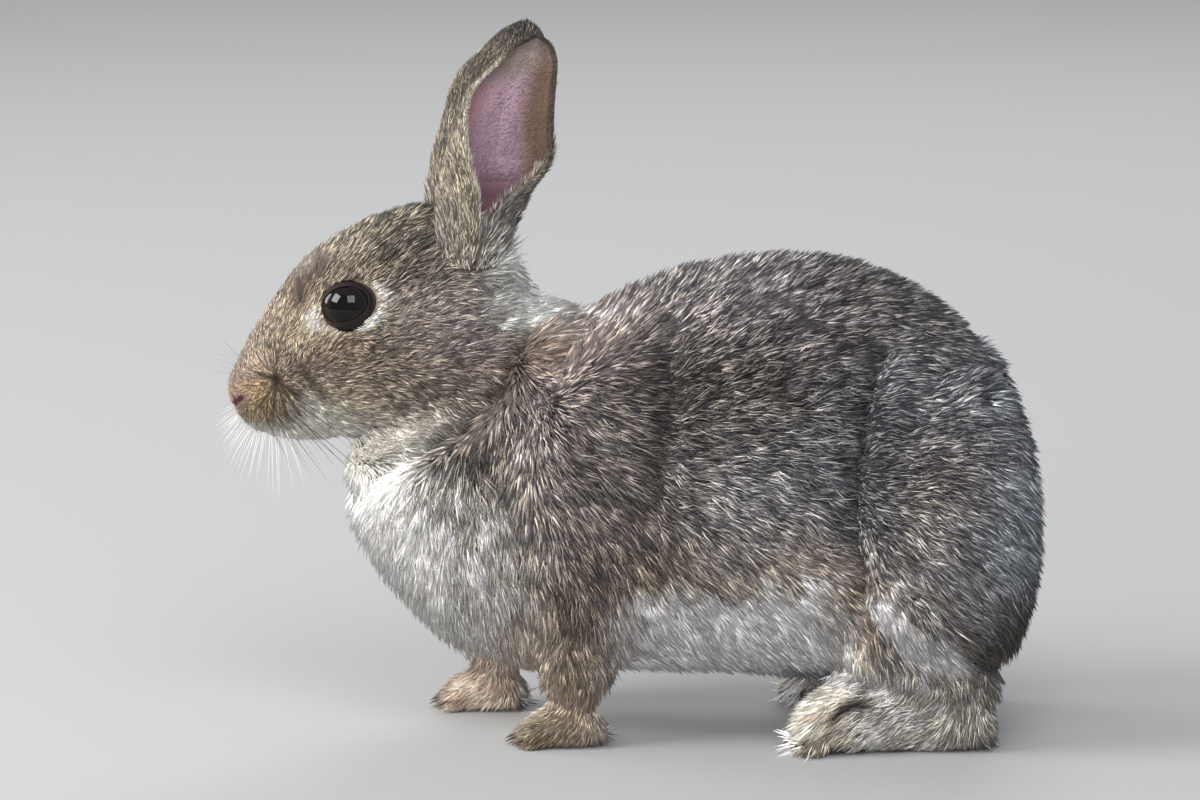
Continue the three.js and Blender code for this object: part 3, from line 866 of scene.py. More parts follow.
# place, colour, spread, how strongly light and dark hairs mix
BODY_COLOURS = [
    # pale fur of the nape, brightened with painted rim light
    ((-38, -6, 129), (250, 244, 228), 9, 0.15),  # fringe of the nape
    ((-32, -20, 121), (130, 107, 90), 8, 0.6),  # rusty nape
    # the withers: their own colour, lightened with painted rim light
    ((-12, -12, 127), (192, 174, 166), 9, 0.7),  # withers
    ((8, -8, 133), (130, 123, 121), 12, 1),  # front of the back
    ((35, -8, 139), (154, 147, 150), 15, 1),  # back
    ((60, -8, 138), (80, 76, 76), 16, 1),  # loin
    ((84, -10, 128), (128, 122, 121), 15, 1),  # croup
    ((107, -12, 96), (128, 132, 140), 13, 0.9),  # rump
    ((113, -8, 68), (84, 88, 95), 12, 0.8),  # buttocks
    ((-16, -34, 120), (138, 120, 114), 8, 0.6),  # fold on the shoulder
    ((-15, -42, 92), (139, 131, 128), 12, 0.9),  # shoulder
    ((-12, -42, 62), (139, 130, 126), 12, 0.8),  # elbow
    ((18, -42, 108), (87, 80, 77), 14, 1),  # ribs
    ((24, -46, 88), (128, 124, 122), 12, 1),  # lower ribs
    ((30, -48, 72), (178, 177, 181), 12, 0.9),  # flank
    ((52, -48, 72), (97, 100, 107), 11, 0.9),  # rear of the flank
    ((12, -44, 58), (97, 83, 70), 12, 0.7),  # lower flank
    ((44, -46, 58), (150, 136, 124), 10, 0.6),  # above the groin
    ((15, -16, 18), (236, 238, 247), 12, 0.05),  # belly
    ((50, -16, 18), (238, 240, 248), 12, 0.05),  # belly
    # The white breast: pale fur, brightened at its front edge with painted rim light and light shining
    # through the fur.
    ((-84, -6, 78), (248, 245, 238), 12, 0.1),  # breast
    ((-76, -20, 62), (246, 242, 234), 10, 0.15),  # side of the white breast
    ((-74, -6, 44), (244, 238, 228), 12, 0.15),  # lower breast
    ((-62, -26, 44), (240, 236, 226), 9, 0.3),  # below the side of the breast
    ((-76, -6, 98), (214, 209, 198), 10, 0.1),  # throat
    ((-46, -27, 104), (154, 145, 138), 9, 0.9),  # side of the neck
    ((-54, -30, 80), (92, 83, 77), 9, 0.9),  # side of the breast
    ((-62, -26, 66), (222, 216, 206), 9, 0.6),  # front of the shoulder
    ((-45, -34, 56), (200, 192, 184), 10, 0.7),  # before the forearm
    ((85, -38, 107), (110, 111, 117), 12, 1),  # top of the haunch
    # bluish grey with a painted sheen of light on the haunch's front edge
    ((76, -52, 108), (130, 132, 138), 6, 0.8),  # front of the haunch's top
    ((88, -57, 82), (112, 104, 100), 12, 1),  # haunch
    ((64, -52, 80), (120, 119, 121), 8, 0.9),  # fold before the haunch
    ((80, -55, 52), (151, 146, 144), 12, 0.8),  # lower haunch
    ((106, -42, 66), (166, 172, 181), 12, 0.8),  # back of the haunch
    # dark brown coat, darkened further with painted shade under the rump
    ((104, -36, 38), (66, 60, 50), 9, 0.6),  # seat
    ((67, -46, 42), (96, 82, 68), 7, 0.6),  # knee
    ((100, -38, 15), (162, 156, 148), 8, 0.6),  # hock
    ((76, -40, 12), (192, 184, 174), 9, 0.7),  # hind foot
    ((48, -34, 12), (194, 176, 150), 8, 0.7),  # hind toes
    ((-16, -38, 40), (106, 95, 82), 10, 0.8),  # forearm
    ((-22, -34, 14), (138, 124, 104), 9, 0.5),  # fore paw
    ((-17, -14, 34), (250, 230, 216), 10, 0.15),  # inside of the forearm
    ((-20, -15, 12), (250, 222, 204), 6, 0.2),  # inside of the fore paw
]
HEAD_COLOURS = [
    ((-79, -3, 2), (140, 123, 112), 4, 0.5),  # nose
    ((-72, -5, 11), (151, 135, 122), 6, 0.8),  # front of the bridge
    ((-60, -6, 20), (162, 146, 130), 8, 0.9),  # bridge
    ((-44, -8, 29), (138, 123, 107), 8, 1),  # forehead
    ((-30, -9, 31), (144, 132, 117), 7, 1),  # light band of the forehead
    ((-16, -9, 32), (124, 118, 106), 8, 1.1),  # crown
    ((-6, -6, 30), (122, 114, 102), 9, 1.1),  # between the ears
    ((8, -8, 15), (226, 217, 200), 8, 0.4),  # behind the ears
    # pale fur of the nape, brightened with painted rim light
    ((11, -10, 1), (252, 248, 232), 8, 0.15),  # fringe of the nape
    ((-73, -11, -3), (158, 132, 98), 6, 0.9),  # whisker pad
    ((-58, -15, 6), (142, 129, 116), 6, 1),  # behind the pad
    ((-46, -18, 2), (128, 113, 102), 8, 0.9),  # below the eye
    ((-32, -22, -3), (144, 131, 120), 9, 0.9),  # cheek
    ((-10, -23, -4), (174, 161, 157), 9, 0.9),  # back of the cheek
    ((-14, -23, -18), (104, 90, 77), 7, 0.7),  # lower edge of the cheek
    ((-34, -20, -18), (134, 124, 110), 7, 0.7),  # under the cheek
    ((-48, -17, -13), (188, 172, 152), 7, 0.6),  # jaw
    ((-60, -10, -18), (238, 232, 221), 7, 0.1),  # lower jaw
    ((-74, -5, -13), (240, 235, 224), 4, 0.1),  # chin
    ((-30, -6, -28), (218, 212, 202), 9, 0.1),  # throat
    ((-18, -18, 20), (96, 88, 79), 8, 1.1),  # temple
    ((-24, -21, 10), (160, 151, 144), 6, 0.8),  # behind the eye
    ((-38, -14, 26), (150, 138, 124), 5, 0.8),  # brow
    ((-50, -15, 14), (204, 176, 148), 6, 0.8),  # before the eye
    ((-3, -20, 8), (148, 138, 130), 8, 0.8),  # below the ear
]


def mix(base, colour, mask):
    """base where the mask is 0, colour where it is 1."""
    return base + (colour - base) * mask[:, None]


def read_colours(rows, places):
    """Mean of the rows' colours and tickings, weighted as in the chart of the coat."""
    where, spread, tick = (np.array([row[k] for row in rows], float) for k in (0, 2, 3))
    colour = np.array([light(*row[1]) for row in rows])
    weight = shares(places, where, spread)
    return weight @ colour, weight @ tick


# axes of the eye: backwards, outwards and upwards, along the skull, for the left eye
EYE_OUT = unit(np.array([-0.2, -0.94, 0.27]))
EYE_UP = unit(np.array([0.14, 0, 1.0]) - EYE_OUT * (np.array([0.14, 0, 1.0]) @ EYE_OUT))
EYE_BACK = np.cross(EYE_UP, EYE_OUT) * -1
EYE_BACK = EYE_BACK * np.sign(EYE_BACK[0])
LID_LONG, LID_HIGH, LID_LIFT = 8.8, 6.4, 0.75  # half of the dark rim's length and height, and its rise
OPEN_LONG, OPEN_HIGH = 6.8, 5.05  # the same halves of the opening between the lids
INNER_CORNER = math.radians(217)  # where the opening ends in a point, towards the nose


def eye_flat(q):
    """Places round the eye as (backwards, upwards, outwards) from its centre, for |y| mirrored left."""
    left = on_left(q) - EYE
    return left @ EYE_BACK, left @ EYE_UP, left @ EYE_OUT


def eye_rings(q):
    """0 at the eye's centre, 1 on the edge of its dark rim, growing outwards."""
    back, up, out = eye_flat(q)
    return np.where(out > 0, np.hypot(back / LID_LONG, (up - LID_LIFT) / LID_HIGH), 9)


# Dark lines of the face: the whorl with its streaks, and painted shade in the crease behind the pad.
DARK_LINES = [
    ([(-65.8, -13, 2.6), (-64.8, -13, 2.6)], 1.3, 0.9),
    ([(-65.4, -13, 2.7), (-63.4, -14, -0.5), (-61.2, -15, -4.2)], 1.1, 0.8),
    ([(-65.4, -13, 2.7), (-69.4, -12, 5.8)], 0.7, 0.8),
    ([(-65.4, -13, 2.7), (-64.6, -13, 6), (-62.4, -13, 9)], 0.8, 0.45),
    ([(-66.2, -13, 1.6), (-72.5, -12, -2.0)], 0.55, 0.7),
    ([(-66.2, -13, 1.6), (-70.5, -12.5, -7)], 0.6, 0.75),
    ([(-65.8, -13, 1.6), (-66.8, -12.5, -9.5)], 0.6, 0.75),
    ([(-65.2, -13, 1.6), (-62.8, -12.5, -10)], 0.6, 0.75),
    # painted shade in the crease behind the pad
    ([(-57.2, -16, 3.8), (-56, -17, -2.2), (-54.1, -18, -7.6)], 1.5, 0.65),
    ([(-33.9, -22, 2.2), (-31.1, -22, -1.2)], 1.2, 0.6),
]
# Shade in the folds of the body: a path, its width and how dark it is.
FOLD_SHADOWS = [
    (HAUNCH_FOLD[:3], 2.4, 0.6),
    (HAUNCH_FOLD[2:], 2.4, 0.2),
    (LOIN_FOLD, 2.6, 0.55),
    (SHOULDER_FRONT, 3, 0.45),
    (SHOULDER_REAR, 4.5, 0.3),
]
# Painted shade in the gap above the hind toes.
TOE_GAP = [(59, -42, 12.5), (65, -42, 16.5)]


def markings(p):
    """The mean colour of the coat, in light, and how strongly light and dark hairs mix there."""
    h = head_share(p)
    p = p + (1.5 - 1.35 * h)[:, None] * np.stack([ripple(p, 16, seed) for seed in (1, 2, 3)], -1)
    left = to_left(p)
    body, body_tick = read_colours(BODY_COLOURS, unstride(p) * left)
    q = to_skull(p)
    mirror = on_left(q)
    head, head_tick = read_colours(HEAD_COLOURS, mirror)
    # cream before and behind the eye, and a dark stroke above its front corner
    back, up, _ = eye_flat(q)
    rim = eye_rings(q)
    front = np.exp(-(((back + 10.9) / 2.4) ** 2) - ((up + 0.8) / 4.4) ** 2)
    rear = bell(rim - 1.2, 0.2) * step(1, 6, back) * (1 - step(3.5, 7, up))
    below = bell(rim - 1.22, 0.14) * step(0.5, -3, up) * 0.7
    head = mix(head, light(224, 208, 186), np.clip(front + rear + below, 0, 1) * 0.92)
    stroke = bell(near_path(mirror, [(-50.5, -14.5, 20), (-48.5, -15, 25), (-40, -13, 28.5)]), 2.3)
    head = mix(head, light(60, 46, 35), stroke * 0.8)
    arc = bell(near_path(mirror, [(-47, -11, 27), (-37, -11, 31), (-27, -14, 28)]), 1.8)
    head = mix(head, light(196, 186, 172), arc * 0.3)
    marked = stroke * 0.75
    for path, wide, much in DARK_LINES:
        line = bell(near_path(mirror, path), wide) * much
        head = mix(head, light(40, 31, 25), line)
        marked = np.maximum(marked, line)
    # the nostril: pink skin round it, and a dark slit that is its dark lining and painted shade of the
    # opening
    nostril = near_path(mirror, [(-76.2, -5.2, 1.0), (-79.2, -3.8, -1.8)])
    head = mix(head, light(150, 112, 104), bell(nostril, 1.9) * 0.6)
    head = mix(head, light(62, 28, 28), 1 - step(0.3, 0.9, nostril))
    head_tick = head_tick * (1 - 0.85 * np.maximum(marked, 1 - step(1, 2, nostril)))
    lip = near_path(mirror, [(-79.5, -6, -7.5), (-76, -8, -12), (-70.5, -10, -14)])
    head = mix(head, light(236, 230, 220), bell(lip, 1.5) * 0.85)
    # white shank and belly, painted shade in the folds and above the hind toes, rusty nape
    place = unstride(p) * left
    higher = place[:, 2] - 0.12 * np.clip(place[:, 0], 0, 50)
    higher = higher + 3 * ripple(place, 7, 41)
    under = step(-16, 2, place[:, 0]) * (1 - foot_share(p))
    beige = under * (1 - step(58, 72, place[:, 0])) * (1 - step(42, 60, higher))
    body = mix(body, light(200, 184, 168), beige * 0.7)
    white = under * (1 - step(50, 62, place[:, 0])) * (1 - step(33, 50, higher))
    body = mix(body, light(236, 236, 242), white * 0.95)
    shank = near_path(place, [(70, -48, 44), (78, -47, 36), (88, -45, 28)])
    body = mix(body, light(216, 213, 213), (1 - step(3.6, 6.4, shank)) * 0.95)
    # painted shade in the folds of the body and in the gap above the hind toes
    shadow = bell(near_path(place, TOE_GAP), 1.7) * foot_share(p)
    for path, wide, much in FOLD_SHADOWS:
        shadow = np.maximum(shadow, bell(near_path(place, path), wide) * much)
    body = mix(body, light(44, 38, 36), shadow)
    body_tick = body_tick * (1 - 0.8 * shadow)
    colour = mix(body, head, h)
    # painted shade in the crease behind the cheek, where the head's coat overhangs the neck
    behind = bell(near_path(place - (2.4, 0, 0), CHEEK_FOLD[1:5]), 2.8) * step(12, 20, -place[:, 1])
    colour = mix(colour, light(62, 47, 37), behind * 0.8)
    tick = (body_tick * (1 - h) + head_tick * h) * (1 - 0.7 * behind)
    tongue = 1 - step(3.6, 6.4, shank)
    tick = tick * (1 - 0.85 * np.maximum(white, tongue) * (1 - h))
    # white under the tail
    tail = step(96, 100, p[:, 0]) * (1 - step(8, 11, np.abs(p[:, 1]))) * (1 - step(46, 56, p[:, 2]))
    tail_white = tail * (1 - step(104, 108, p[:, 0]))
    colour = mix(colour, light(96, 88, 82), tail)
    colour = mix(colour, light(232, 228, 220), tail_white)
    tick = tick * (1 - 0.7 * tail_white)
    return colour, tick


# %% [markdown]
# ## Tufts
# Hair can be grown by Blender's hair system, but only solid mesh leaves Blender whole. So the coat is
# made of many small tufts, each a kite: a point at the root, a corner on either side and a point at the
# tip, joined by four triangles. All tufts of a piece are one array operation. Three things make them
# look like a coat: they follow the lie, their tips draw together in clumps, and each is dark at its
# root and lighter or darker at its tip.

# %% Build tufts from arrays


def clump_centres(p, cell, seed):
    """The nearest centre to each place, with one random centre in each cube that space is cut into."""
    base = np.floor(p / cell).astype(np.int64)
    best = np.full(len(p), np.inf)
    centre = np.zeros_like(p)
    for offset in itertools.product((-1, 0, 1), repeat=3):
        cube = base + offset
        mixed = (cube * (73856093, 19349663, 83492791)).sum(1) + seed * 7919
        waves = (np.abs(np.sin(mixed * k)) * 43758.5453 for k in (0.37, 0.73, 1.31))
        jitter = np.stack([np.modf(wave)[0] for wave in waves], -1)
        candidate = (cube + jitter) * cell
        apart = ((candidate - p) ** 2).sum(1)
        nearer = apart < best
        best = np.where(nearer, apart, best)
        centre[nearer] = candidate[nearer]
    return centre


KITE = np.array([(0, 1, 2), (3, 2, 1), (0, 3, 1), (0, 2, 3)])
WIDEST_AT = 0.45  # share of a tuft's length
PATCH = 0.0015  # half of a tuft's patch on the UV map


def tufts(name, root, normal, lie, length, depth, width, colours, uv, pull=None):
    """Axis = root + lie * length * s + normal * depth * s * (1.7 - 0.7 s), with a kite folded on it."""
    count = len(root)
    side = np.cross(normal, lie)
    pull = np.zeros_like(root) if pull is None else pull
    down = np.minimum(0.5, 0.3 * depth)[:, None]

    def axis(s):
        rise = (depth * s * (1.7 - 0.7 * s))[:, None]
        return root - normal * down + lie * (length * s)[:, None] + normal * rise + pull * s**1.5

    half = side * (width / 2)[:, None]
    verts = np.stack((axis(0.0), axis(WIDEST_AT) - half, axis(WIDEST_AT) + half, axis(1.0)), 1)
    verts[..., 2] = np.maximum(verts[..., 2], 0.05)
    faces = (KITE[None] + 4 * np.arange(count)[:, None, None]).reshape(-1, 3)
    made = mesh_object(name, verts.reshape(-1, 3), faces)
    at_root, at_middle, at_tip = colours
    paint(made, np.stack((at_root, at_middle, at_middle, at_tip), 1).reshape(-1, 3))
    patch = np.array([(0, -1), (-0.8, 2 * WIDEST_AT - 1), (0.8, 2 * WIDEST_AT - 1), (0, 1)]) * PATCH
    spread = (uv[:, None, :] + patch[None]).reshape(-1, 2)
    layer = made.data.uv_layers.new(name="OFBake")
    index = np.empty(len(made.data.loops), np.int32)
    made.data.loops.foreach_get("vertex_index", index)
    layer.data.foreach_set("uv", spread[index].astype(np.float32).ravel())
    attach(made, "root")
    print(f"{name}: {count} tufts, {len(made.data.polygons)} triangles")
    return made


def paint(made, colour):
    """Stores one colour for each vertex as the attribute that the materials read."""
    rgba = np.ones((len(colour), 4), np.float32)
    rgba[:, :3] = colour
    layer = made.data.color_attributes.new("markings", "FLOAT_COLOR", "POINT")
    layer.data.foreach_set("color", rgba.ravel())


# %% [markdown]
# ## Where the tufts are rooted
# Roots are scattered evenly over the skin's triangles: the triangles are laid end to end by their
# area, and one root is dropped in each equal stretch of that line. The body is cut into regions only
# so that no mesh grows too large.

# %% Scatter roots over the skin
skin_points, skin_normals = points_of(skin), normals_of(skin)
corner_of = np.empty(3 * len(skin.data.polygons), np.int32)
skin.data.polygons.foreach_get("vertices", corner_of)
triangles = corner_of.reshape(-1, 3)
middles = skin_points[triangles].mean(1)
a, b, c = (skin_points[triangles[:, k]] for k in range(3))
areas = np.linalg.norm(np.cross(b - a, c - a), axis=1) / 2


# Hair is thinner where nothing shows it, under the belly and the feet, and thicker on the muzzle.
face_up = skin_normals[triangles].mean(1)[:, 2]
muzzle = bell(np.linalg.norm(to_skull(middles) * (1, 0, 1) + (70, 0, 0), axis=1), 13)
thickness = (1 - 0.55 * step(0.45, 0.85, -face_up)) * (1 + 0.6 * muzzle * head_share(middles))


def scatter(chosen, density, seed):
    """Roots, their normals and a generator, with about `density` roots on each square millimetre."""
    rng = np.random.default_rng(seed)
    line = np.cumsum((areas * thickness)[chosen])
    count = int(line[-1] * density)
    at = (np.arange(count) + rng.random(count)) / count * line[-1]
    face = triangles[chosen][np.clip(np.searchsorted(line, at), 0, len(line) - 1)]
    r, s = np.sqrt(rng.random(count)), rng.random(count)
    weights = np.stack((1 - r, r * (1 - s), r * s), -1)[..., None]
    return (skin_points[face] * weights).sum(1), unit((skin_normals[face] * weights).sum(1)), rng


head = head_share(middles)
q = to_skull(middles)
on_ear = on_ears[triangles].all(1)
feet = foot_share(middles) > 0.5
on_head = (head > 0.5) & ~on_ear
on_tail = (middles[:, 0] > 98) & (np.abs(middles[:, 1]) < 12) & (middles[:, 2] < 56)
body = ~on_ear & ~on_head & ~feet & ~on_tail
left, x = middles[:, 1] < 0, middles[:, 0]
REGIONS = {
    "coat_face": ("coat_face", on_head & (q[:, 0] < -50), 9.5),
    "coat_head_left": ("coat_face", on_head & (q[:, 0] >= -50) & (q[:, 1] < 0), 7.2),
    "coat_head_right": ("coat_face", on_head & (q[:, 0] >= -50) & (q[:, 1] >= 0), 6.4),
    "coat_breast": ("coat_breast", body & (x < -48), 4.2),
    "coat_fore_left": ("coat_back", body & left & (x >= -48) & (x < 5), 4.4),
    "coat_fore_right": ("coat_back", body & ~left & (x >= -48) & (x < 5), 3.4),
    "coat_side_left": ("coat_back", body & left & (x >= 5) & (x < 60), 4.4),
    "coat_side_right": ("coat_back", body & ~left & (x >= 5) & (x < 60), 3.4),
    "coat_haunch_left": ("coat_back", body & left & (x >= 60), 4.4),
    "coat_haunch_right": ("coat_back", body & ~left & (x >= 60), 3.4),
    "coat_feet": ("coat_foot", feet & ~on_tail, 3.8),
    "coat_tail": ("coat_tail", on_tail, 4),
}


def unwrapped(p, name):
    """Round the piece's own axis and along it, both from 0.02 to 0.98."""
    if name in ("coat_face", "coat_head_left", "coat_head_right"):
        q = to_skull(p)
        flat = np.stack((q[:, 0], np.arctan2(q[:, 1], -q[:, 2])), -1)
    elif name == "coat_feet":
        step_on = np.where(p[:, 1] > 0, 2.0, 0) + np.where(p[:, 0] > 20, 1.0, 0)
        middle = np.where(p[:, 0] > 20, 32, 25.5)
        turn = np.arctan2(np.abs(p[:, 1]) - middle, p[:, 2] - 8)
        flat = np.stack((step_on + (turn + np.pi) / 6.5, p[:, 0] - 0.5 * p[:, 2]), -1)
    else:
        flat = np.stack((p[:, 0], np.arctan2(p[:, 1], 68 - p[:, 2])), -1)
    low, high = flat.min(0), flat.max(0)
    return 0.02 + 0.96 * (flat - low) / (high - low)


def hair_colours(middle_at, tip_at, rng):
    """Root, middle and tip of each tuft. Ticking makes some bands pale and some hairs dark."""
    base, tick = markings(middle_at)
    root, middle, tip = banded(base, tick[:, None], middle_at, rng)
    change = markings(tip_at)[0] / np.maximum(base, 0.01)
    return root, middle, np.minimum(tip * np.clip(change, 0.15, 4), 0.9)


PALE = light(226, 214, 200)


def banded(base, tick, p, rng):
    """Agouti hair: slate at the root, then a pale band or a dark one.

    The share of pale hairs is what makes the mean of both come out at the charted colour.
    """
    mottle = 0.15 * ripple(p, 11, 22) + 0.1 * ripple(p, 5, 21) + 0.06 * ripple(p, 2.4, 23)
    mottle *= 1 - 0.55 * head_share(p)
    body = base * np.exp(mottle[:, None] * (0.3 + 0.7 * tick))
    pale = body * (1 + 1.45 * tick) * (1 + tick * (0.04, 0.015, -0.09))
    pale = np.minimum(pale + (PALE - pale) * 0.12 * tick, 0.85)
    dark = body * (1 - 0.74 * np.minimum(tick, 1)) * (1 + tick * (-0.03, -0.01, 0.08))
    share = (body - dark).mean(1) / np.maximum((pale - dark).mean(1), 1e-6)
    pick = rng.random(len(p))
    own = np.exp(rng.normal(0, 0.16, len(p)))[:, None]
    plain = (rng.random(len(p)) < 0.25)[:, None]
    middle = np.where(plain, body, np.where((pick < share)[:, None], pale, dark)) * own
    slate = np.array([1.04, 1.0, 0.96]) * body.mean(1, keepdims=True)
    return slate * (0.95 - 0.55 * tick), middle, middle * (1 - 0.1 * tick)


def grow(name, slot, chosen, density, seed):
    """Scatters, charts, clumps and colours the tufts of one region, and builds them."""
    root, normal, rng = scatter(chosen, density, seed)
    q = to_skull(root)
    bare = (eye_rings(q) < 0.93) & (head_share(root) > 0.3)
    folded = np.stack((q[:, 0], np.abs(q[:, 1]), q[:, 2]), -1)
    bare |= along(folded, *CREASES[2][:2])[0] < 1.0
    root, normal = root[~bare], normal[~bare]
    lie, length, depth = coat_at(root, normal)
    side = np.cross(normal, lie)
    sway = 0.16 * ripple(root, 9, 31) + 0.16 * ripple(root, 3.6, 32) + rng.normal(0, 0.13, len(root))
    lie = unit(lie + side * sway[:, None])
    length = length * np.exp(rng.normal(0, 0.16, len(root)))
    depth = depth * np.clip(1 + 0.2 * ripple(root, 4, 33) + rng.normal(0, 0.17, len(root)), 0.35, 1.5)
    cell = 0.34 * length.mean()
    drawn = clump_centres(root, cell, seed) - root
    drawn -= (drawn * normal).sum(1, keepdims=True) * normal
    width = 0.09 + 0.0165 * length
    pull = drawn * rng.uniform(0.05, 0.45, (len(root), 1))
    ahead = lie * length[:, None]
    colours = hair_colours(root + 0.4 * ahead, root + 0.9 * ahead, rng)
    uv = unwrapped(root, name)
    return tufts(name, root, normal, lie, length, depth, width, colours, uv, pull=pull)


coat = [grow(name, *region, seed) for seed, (name, region) in enumerate(REGIONS.items(), 101)]

# %% [markdown]
# ## The coat of the ears
# The back of an ear wears short ticked hair that runs to the tip. Inside, only a band along the front
# rim and a down towards the rear rim are thick enough to see, and a pale fringe crosses the lower
# slit. Here the roots come straight from the ear's own two parameters.

# %% Clothe the ears


def ear_colours(u, share, out):
    """The mean colour and ticking on the outer (out > 0) and the inner face of an ear."""
    ones = np.ones(len(u))
    outer = mix(light(114, 107, 100) * ones[:, None], light(138, 128, 113), step(1.4, 3, u))
    outer = mix(outer, light(104, 95, 84), step(3.5, 5.5, u))
    outer = mix(outer, light(56, 48, 42), step(7, 8.6, u))
    outer = mix(outer, light(150, 140, 122), (1 - step(0.02, 0.16, share)) * (1 - step(6, 7.5, u)) * 0.7)
    outer = mix(outer, light(132, 126, 120), step(0.7, 0.9, share) * (1 - step(2.6, 3.6, u)))
    outer = mix(outer, light(64, 53, 46), step(0.86, 1, share) * 0.7 * step(3, 4, u))
    inner = light(174, 145, 158) * ones[:, None]
    red = np.exp(-(((share - 0.25) / 0.16) ** 2) - ((u - 5.3) / 0.9) ** 2)
    inner = mix(inner, light(184, 136, 134), red * 0.8)
    inner = mix(inner, light(142, 128, 122), step(5.9, 6.9, u))
    inner = mix(inner, light(106, 85, 73), step(0.6, 0.85, share) * (1 - 0.3 * step(6.4, 7.4, u)))
    inner = mix(inner, light(56, 45, 39), step(0.95, 1, share) * 0.9 * step(3.6, 4.4, u))
    inner = mix(inner, light(164, 154, 141), 1 - step(0.02, 0.1, share))
    # darker and redder towards the base: painted shade deep in the roll of the ear over its pink skin
    inner = mix(inner, light(104, 66, 76), (1 - step(2.6, 3.9, u)) * 0.85)
    face = (out > 0).astype(float)
    tick = np.where(out > 0, 0.75, 0.15 + 0.3 * (share < 0.08))
    return mix(inner, outer, face), tick


def ear_roots(side, out, u_range, share_range, count, seed):
    """Roots on one face of an ear. More are tried than are kept, so that wide parts get their share."""
    rng = np.random.default_rng(seed)
    u = rng.uniform(*u_range, 4 * count)
    share = rng.uniform(*share_range, 4 * count)
    nudge = 0.02
    p = ear_place(side, u, share, out * EAR_WALL)
    along_u = (ear_place(side, u + nudge, share, out * EAR_WALL) - p) / nudge
    along_share = (ear_place(side, u, share + nudge, out * EAR_WALL) - p) / nudge
    spread = np.linalg.norm(np.cross(along_u, along_share), axis=1)
    kept = np.flatnonzero(rng.random(len(u)) < spread / np.percentile(spread, 98))[:count]
    radial = ear_place(side, u, share, out * (EAR_WALL + 1)) - p
    normal = unit(np.cross(along_u, along_share))
    normal *= np.sign((normal * radial).sum(1, keepdims=True))
    return p[kept], normal[kept], unit(along_u[kept]), unit(along_share[kept]), u[kept], share[kept], rng


def ear_rim(name, side, share, count, seed):
    """Short tufts on one rim of an ear, pointing to the tip and a little past the edge."""
    rng = np.random.default_rng(seed)
    u = 0.6 + (len(EAR) - 1.65) * np.sqrt((np.arange(count) + rng.random(count)) / count)
    out = rng.uniform(-1, 1, count) * EAR_WALL
    radius, span = through(EAR, u)[:, 3], through(EAR, u)[:, 5:7].sum(1)
    bulge = np.sqrt(1 - (out / EAR_WALL) ** 2) * EAR_WALL / (np.radians(span) * radius)
    edge = share + bulge * (2 * share - 1)
    p = ear_place(side, u, edge, out)
    up = unit(ear_place(side, u + 0.02, edge, out) - p)
    past = unit(p - ear_place(side, u, edge + 0.02 * (1 - 2 * share), out))
    face = unit(np.cross(up, past))
    face *= np.sign((face * (ear_place(side, u, edge, out + 1) - p)).sum(1, keepdims=True))
    normal = unit(past + face * (out / EAR_WALL)[:, None])
    lie = unit(up - (up * normal).sum(1, keepdims=True) * normal)
    base, tick = ear_colours(u, np.full(count, share), np.ones(count))
    base = mix(base, light(196, 186, 170), (1 - step(6.8, 7.6, u)) * (1 - share) * 0.6)
    colours = banded(base, tick[:, None] * 0.6, p, rng)
    long = (3.6 - 2.2 * step(2, 6, u)) * np.exp(rng.normal(0, 0.2, count))
    uv = 0.02 + 0.96 * np.column_stack((0.48 + 0.02 * (share + out), u / len(EAR)))
    return tufts(name, p, normal, lie, long, 0.3 * long, 0.13 + 0.03 * long, colours, uv)


def ear_coat(name, side, out, u_range, share_range, count, length, depth, seed, turn=0.0, pale=0.0):
    """Tufts on one face of an ear, pointing to the tip and turned by `turn` towards the back rim."""
    p, normal, up, across, u, share, rng = ear_roots(side, out, u_range, share_range, count, seed)
    lie = unit(up * math.cos(turn) + across * math.sin(turn))
    lie = unit(lie - (lie * normal).sum(1, keepdims=True) * normal)
    sway = 0.2 * ripple(p, 7, 41) + rng.normal(0, 0.14, len(p))
    lie = unit(lie + np.cross(normal, lie) * sway[:, None])
    base, tick = ear_colours(u, share, np.full(len(u), out))
    if out > 0:
        base = mix(markings(p)[0], base, step(0.6, 1.3, u))
    base = base + (PALE - base) * pale
    colours = banded(base, tick[:, None], p, rng)
    if out < 0:
        colours = (colours[1], *colours[1:])
    shorter = 1 - 0.4 * step(3, 6.5, u)
    long = length * shorter * np.exp(rng.normal(0, 0.16, len(p)))
    deep = depth * shorter * np.exp(rng.normal(0, 0.25, len(p)))
    width = 0.13 + 0.026 * long
    uv = 0.02 + 0.96 * np.column_stack((0.46 * share + (0.54 if out > 0 else 0), u / (len(EAR) - 1)))
    return tufts(name, p, normal, lie, long, deep, width, colours, uv)


TOP = len(EAR) - 1
# face, range of u, range of share, count, length, depth, seed, turn, how pale
EAR_BACK = {
    "back": (1, (0.6, TOP), (0, 1), 14500, 3.8, 1.0, 200, 0.0, 0.0),
    "collar": (1, (0.9, 2.2), (0, 1), 2600, 5.5, 1.6, 280, 0.0, 0.0),
}
EAR_INSIDE = {
    "rear": (-1, (3, TOP), (0.5, 1), 2200, 2, 0.4, 220, 0.9, 0.0),
    "inner": (-1, (3, TOP), (0.1, 0.6), 2600, 1.5, 0.25, 230, 0.3, 0.0),
    "hem": (-1, (2.4, TOP), (0, 0.05), 1100, 2.2, 1.0, 210, 0.7, 0.3),
    "fringe": (-1, (2.2, 4), (0, 0.06), 420, 5, 1.8, 240, 0.5, 0.5),
    "tuft": (-1, (2.2, 3.7), (0.85, 1), 700, 4.5, 1.3, 270, -0.3, 0.6),
}
EAR_RIMS = {"rim": (0, 1500, 250), "edge": (1, 1300, 260)}  # share, count, seed

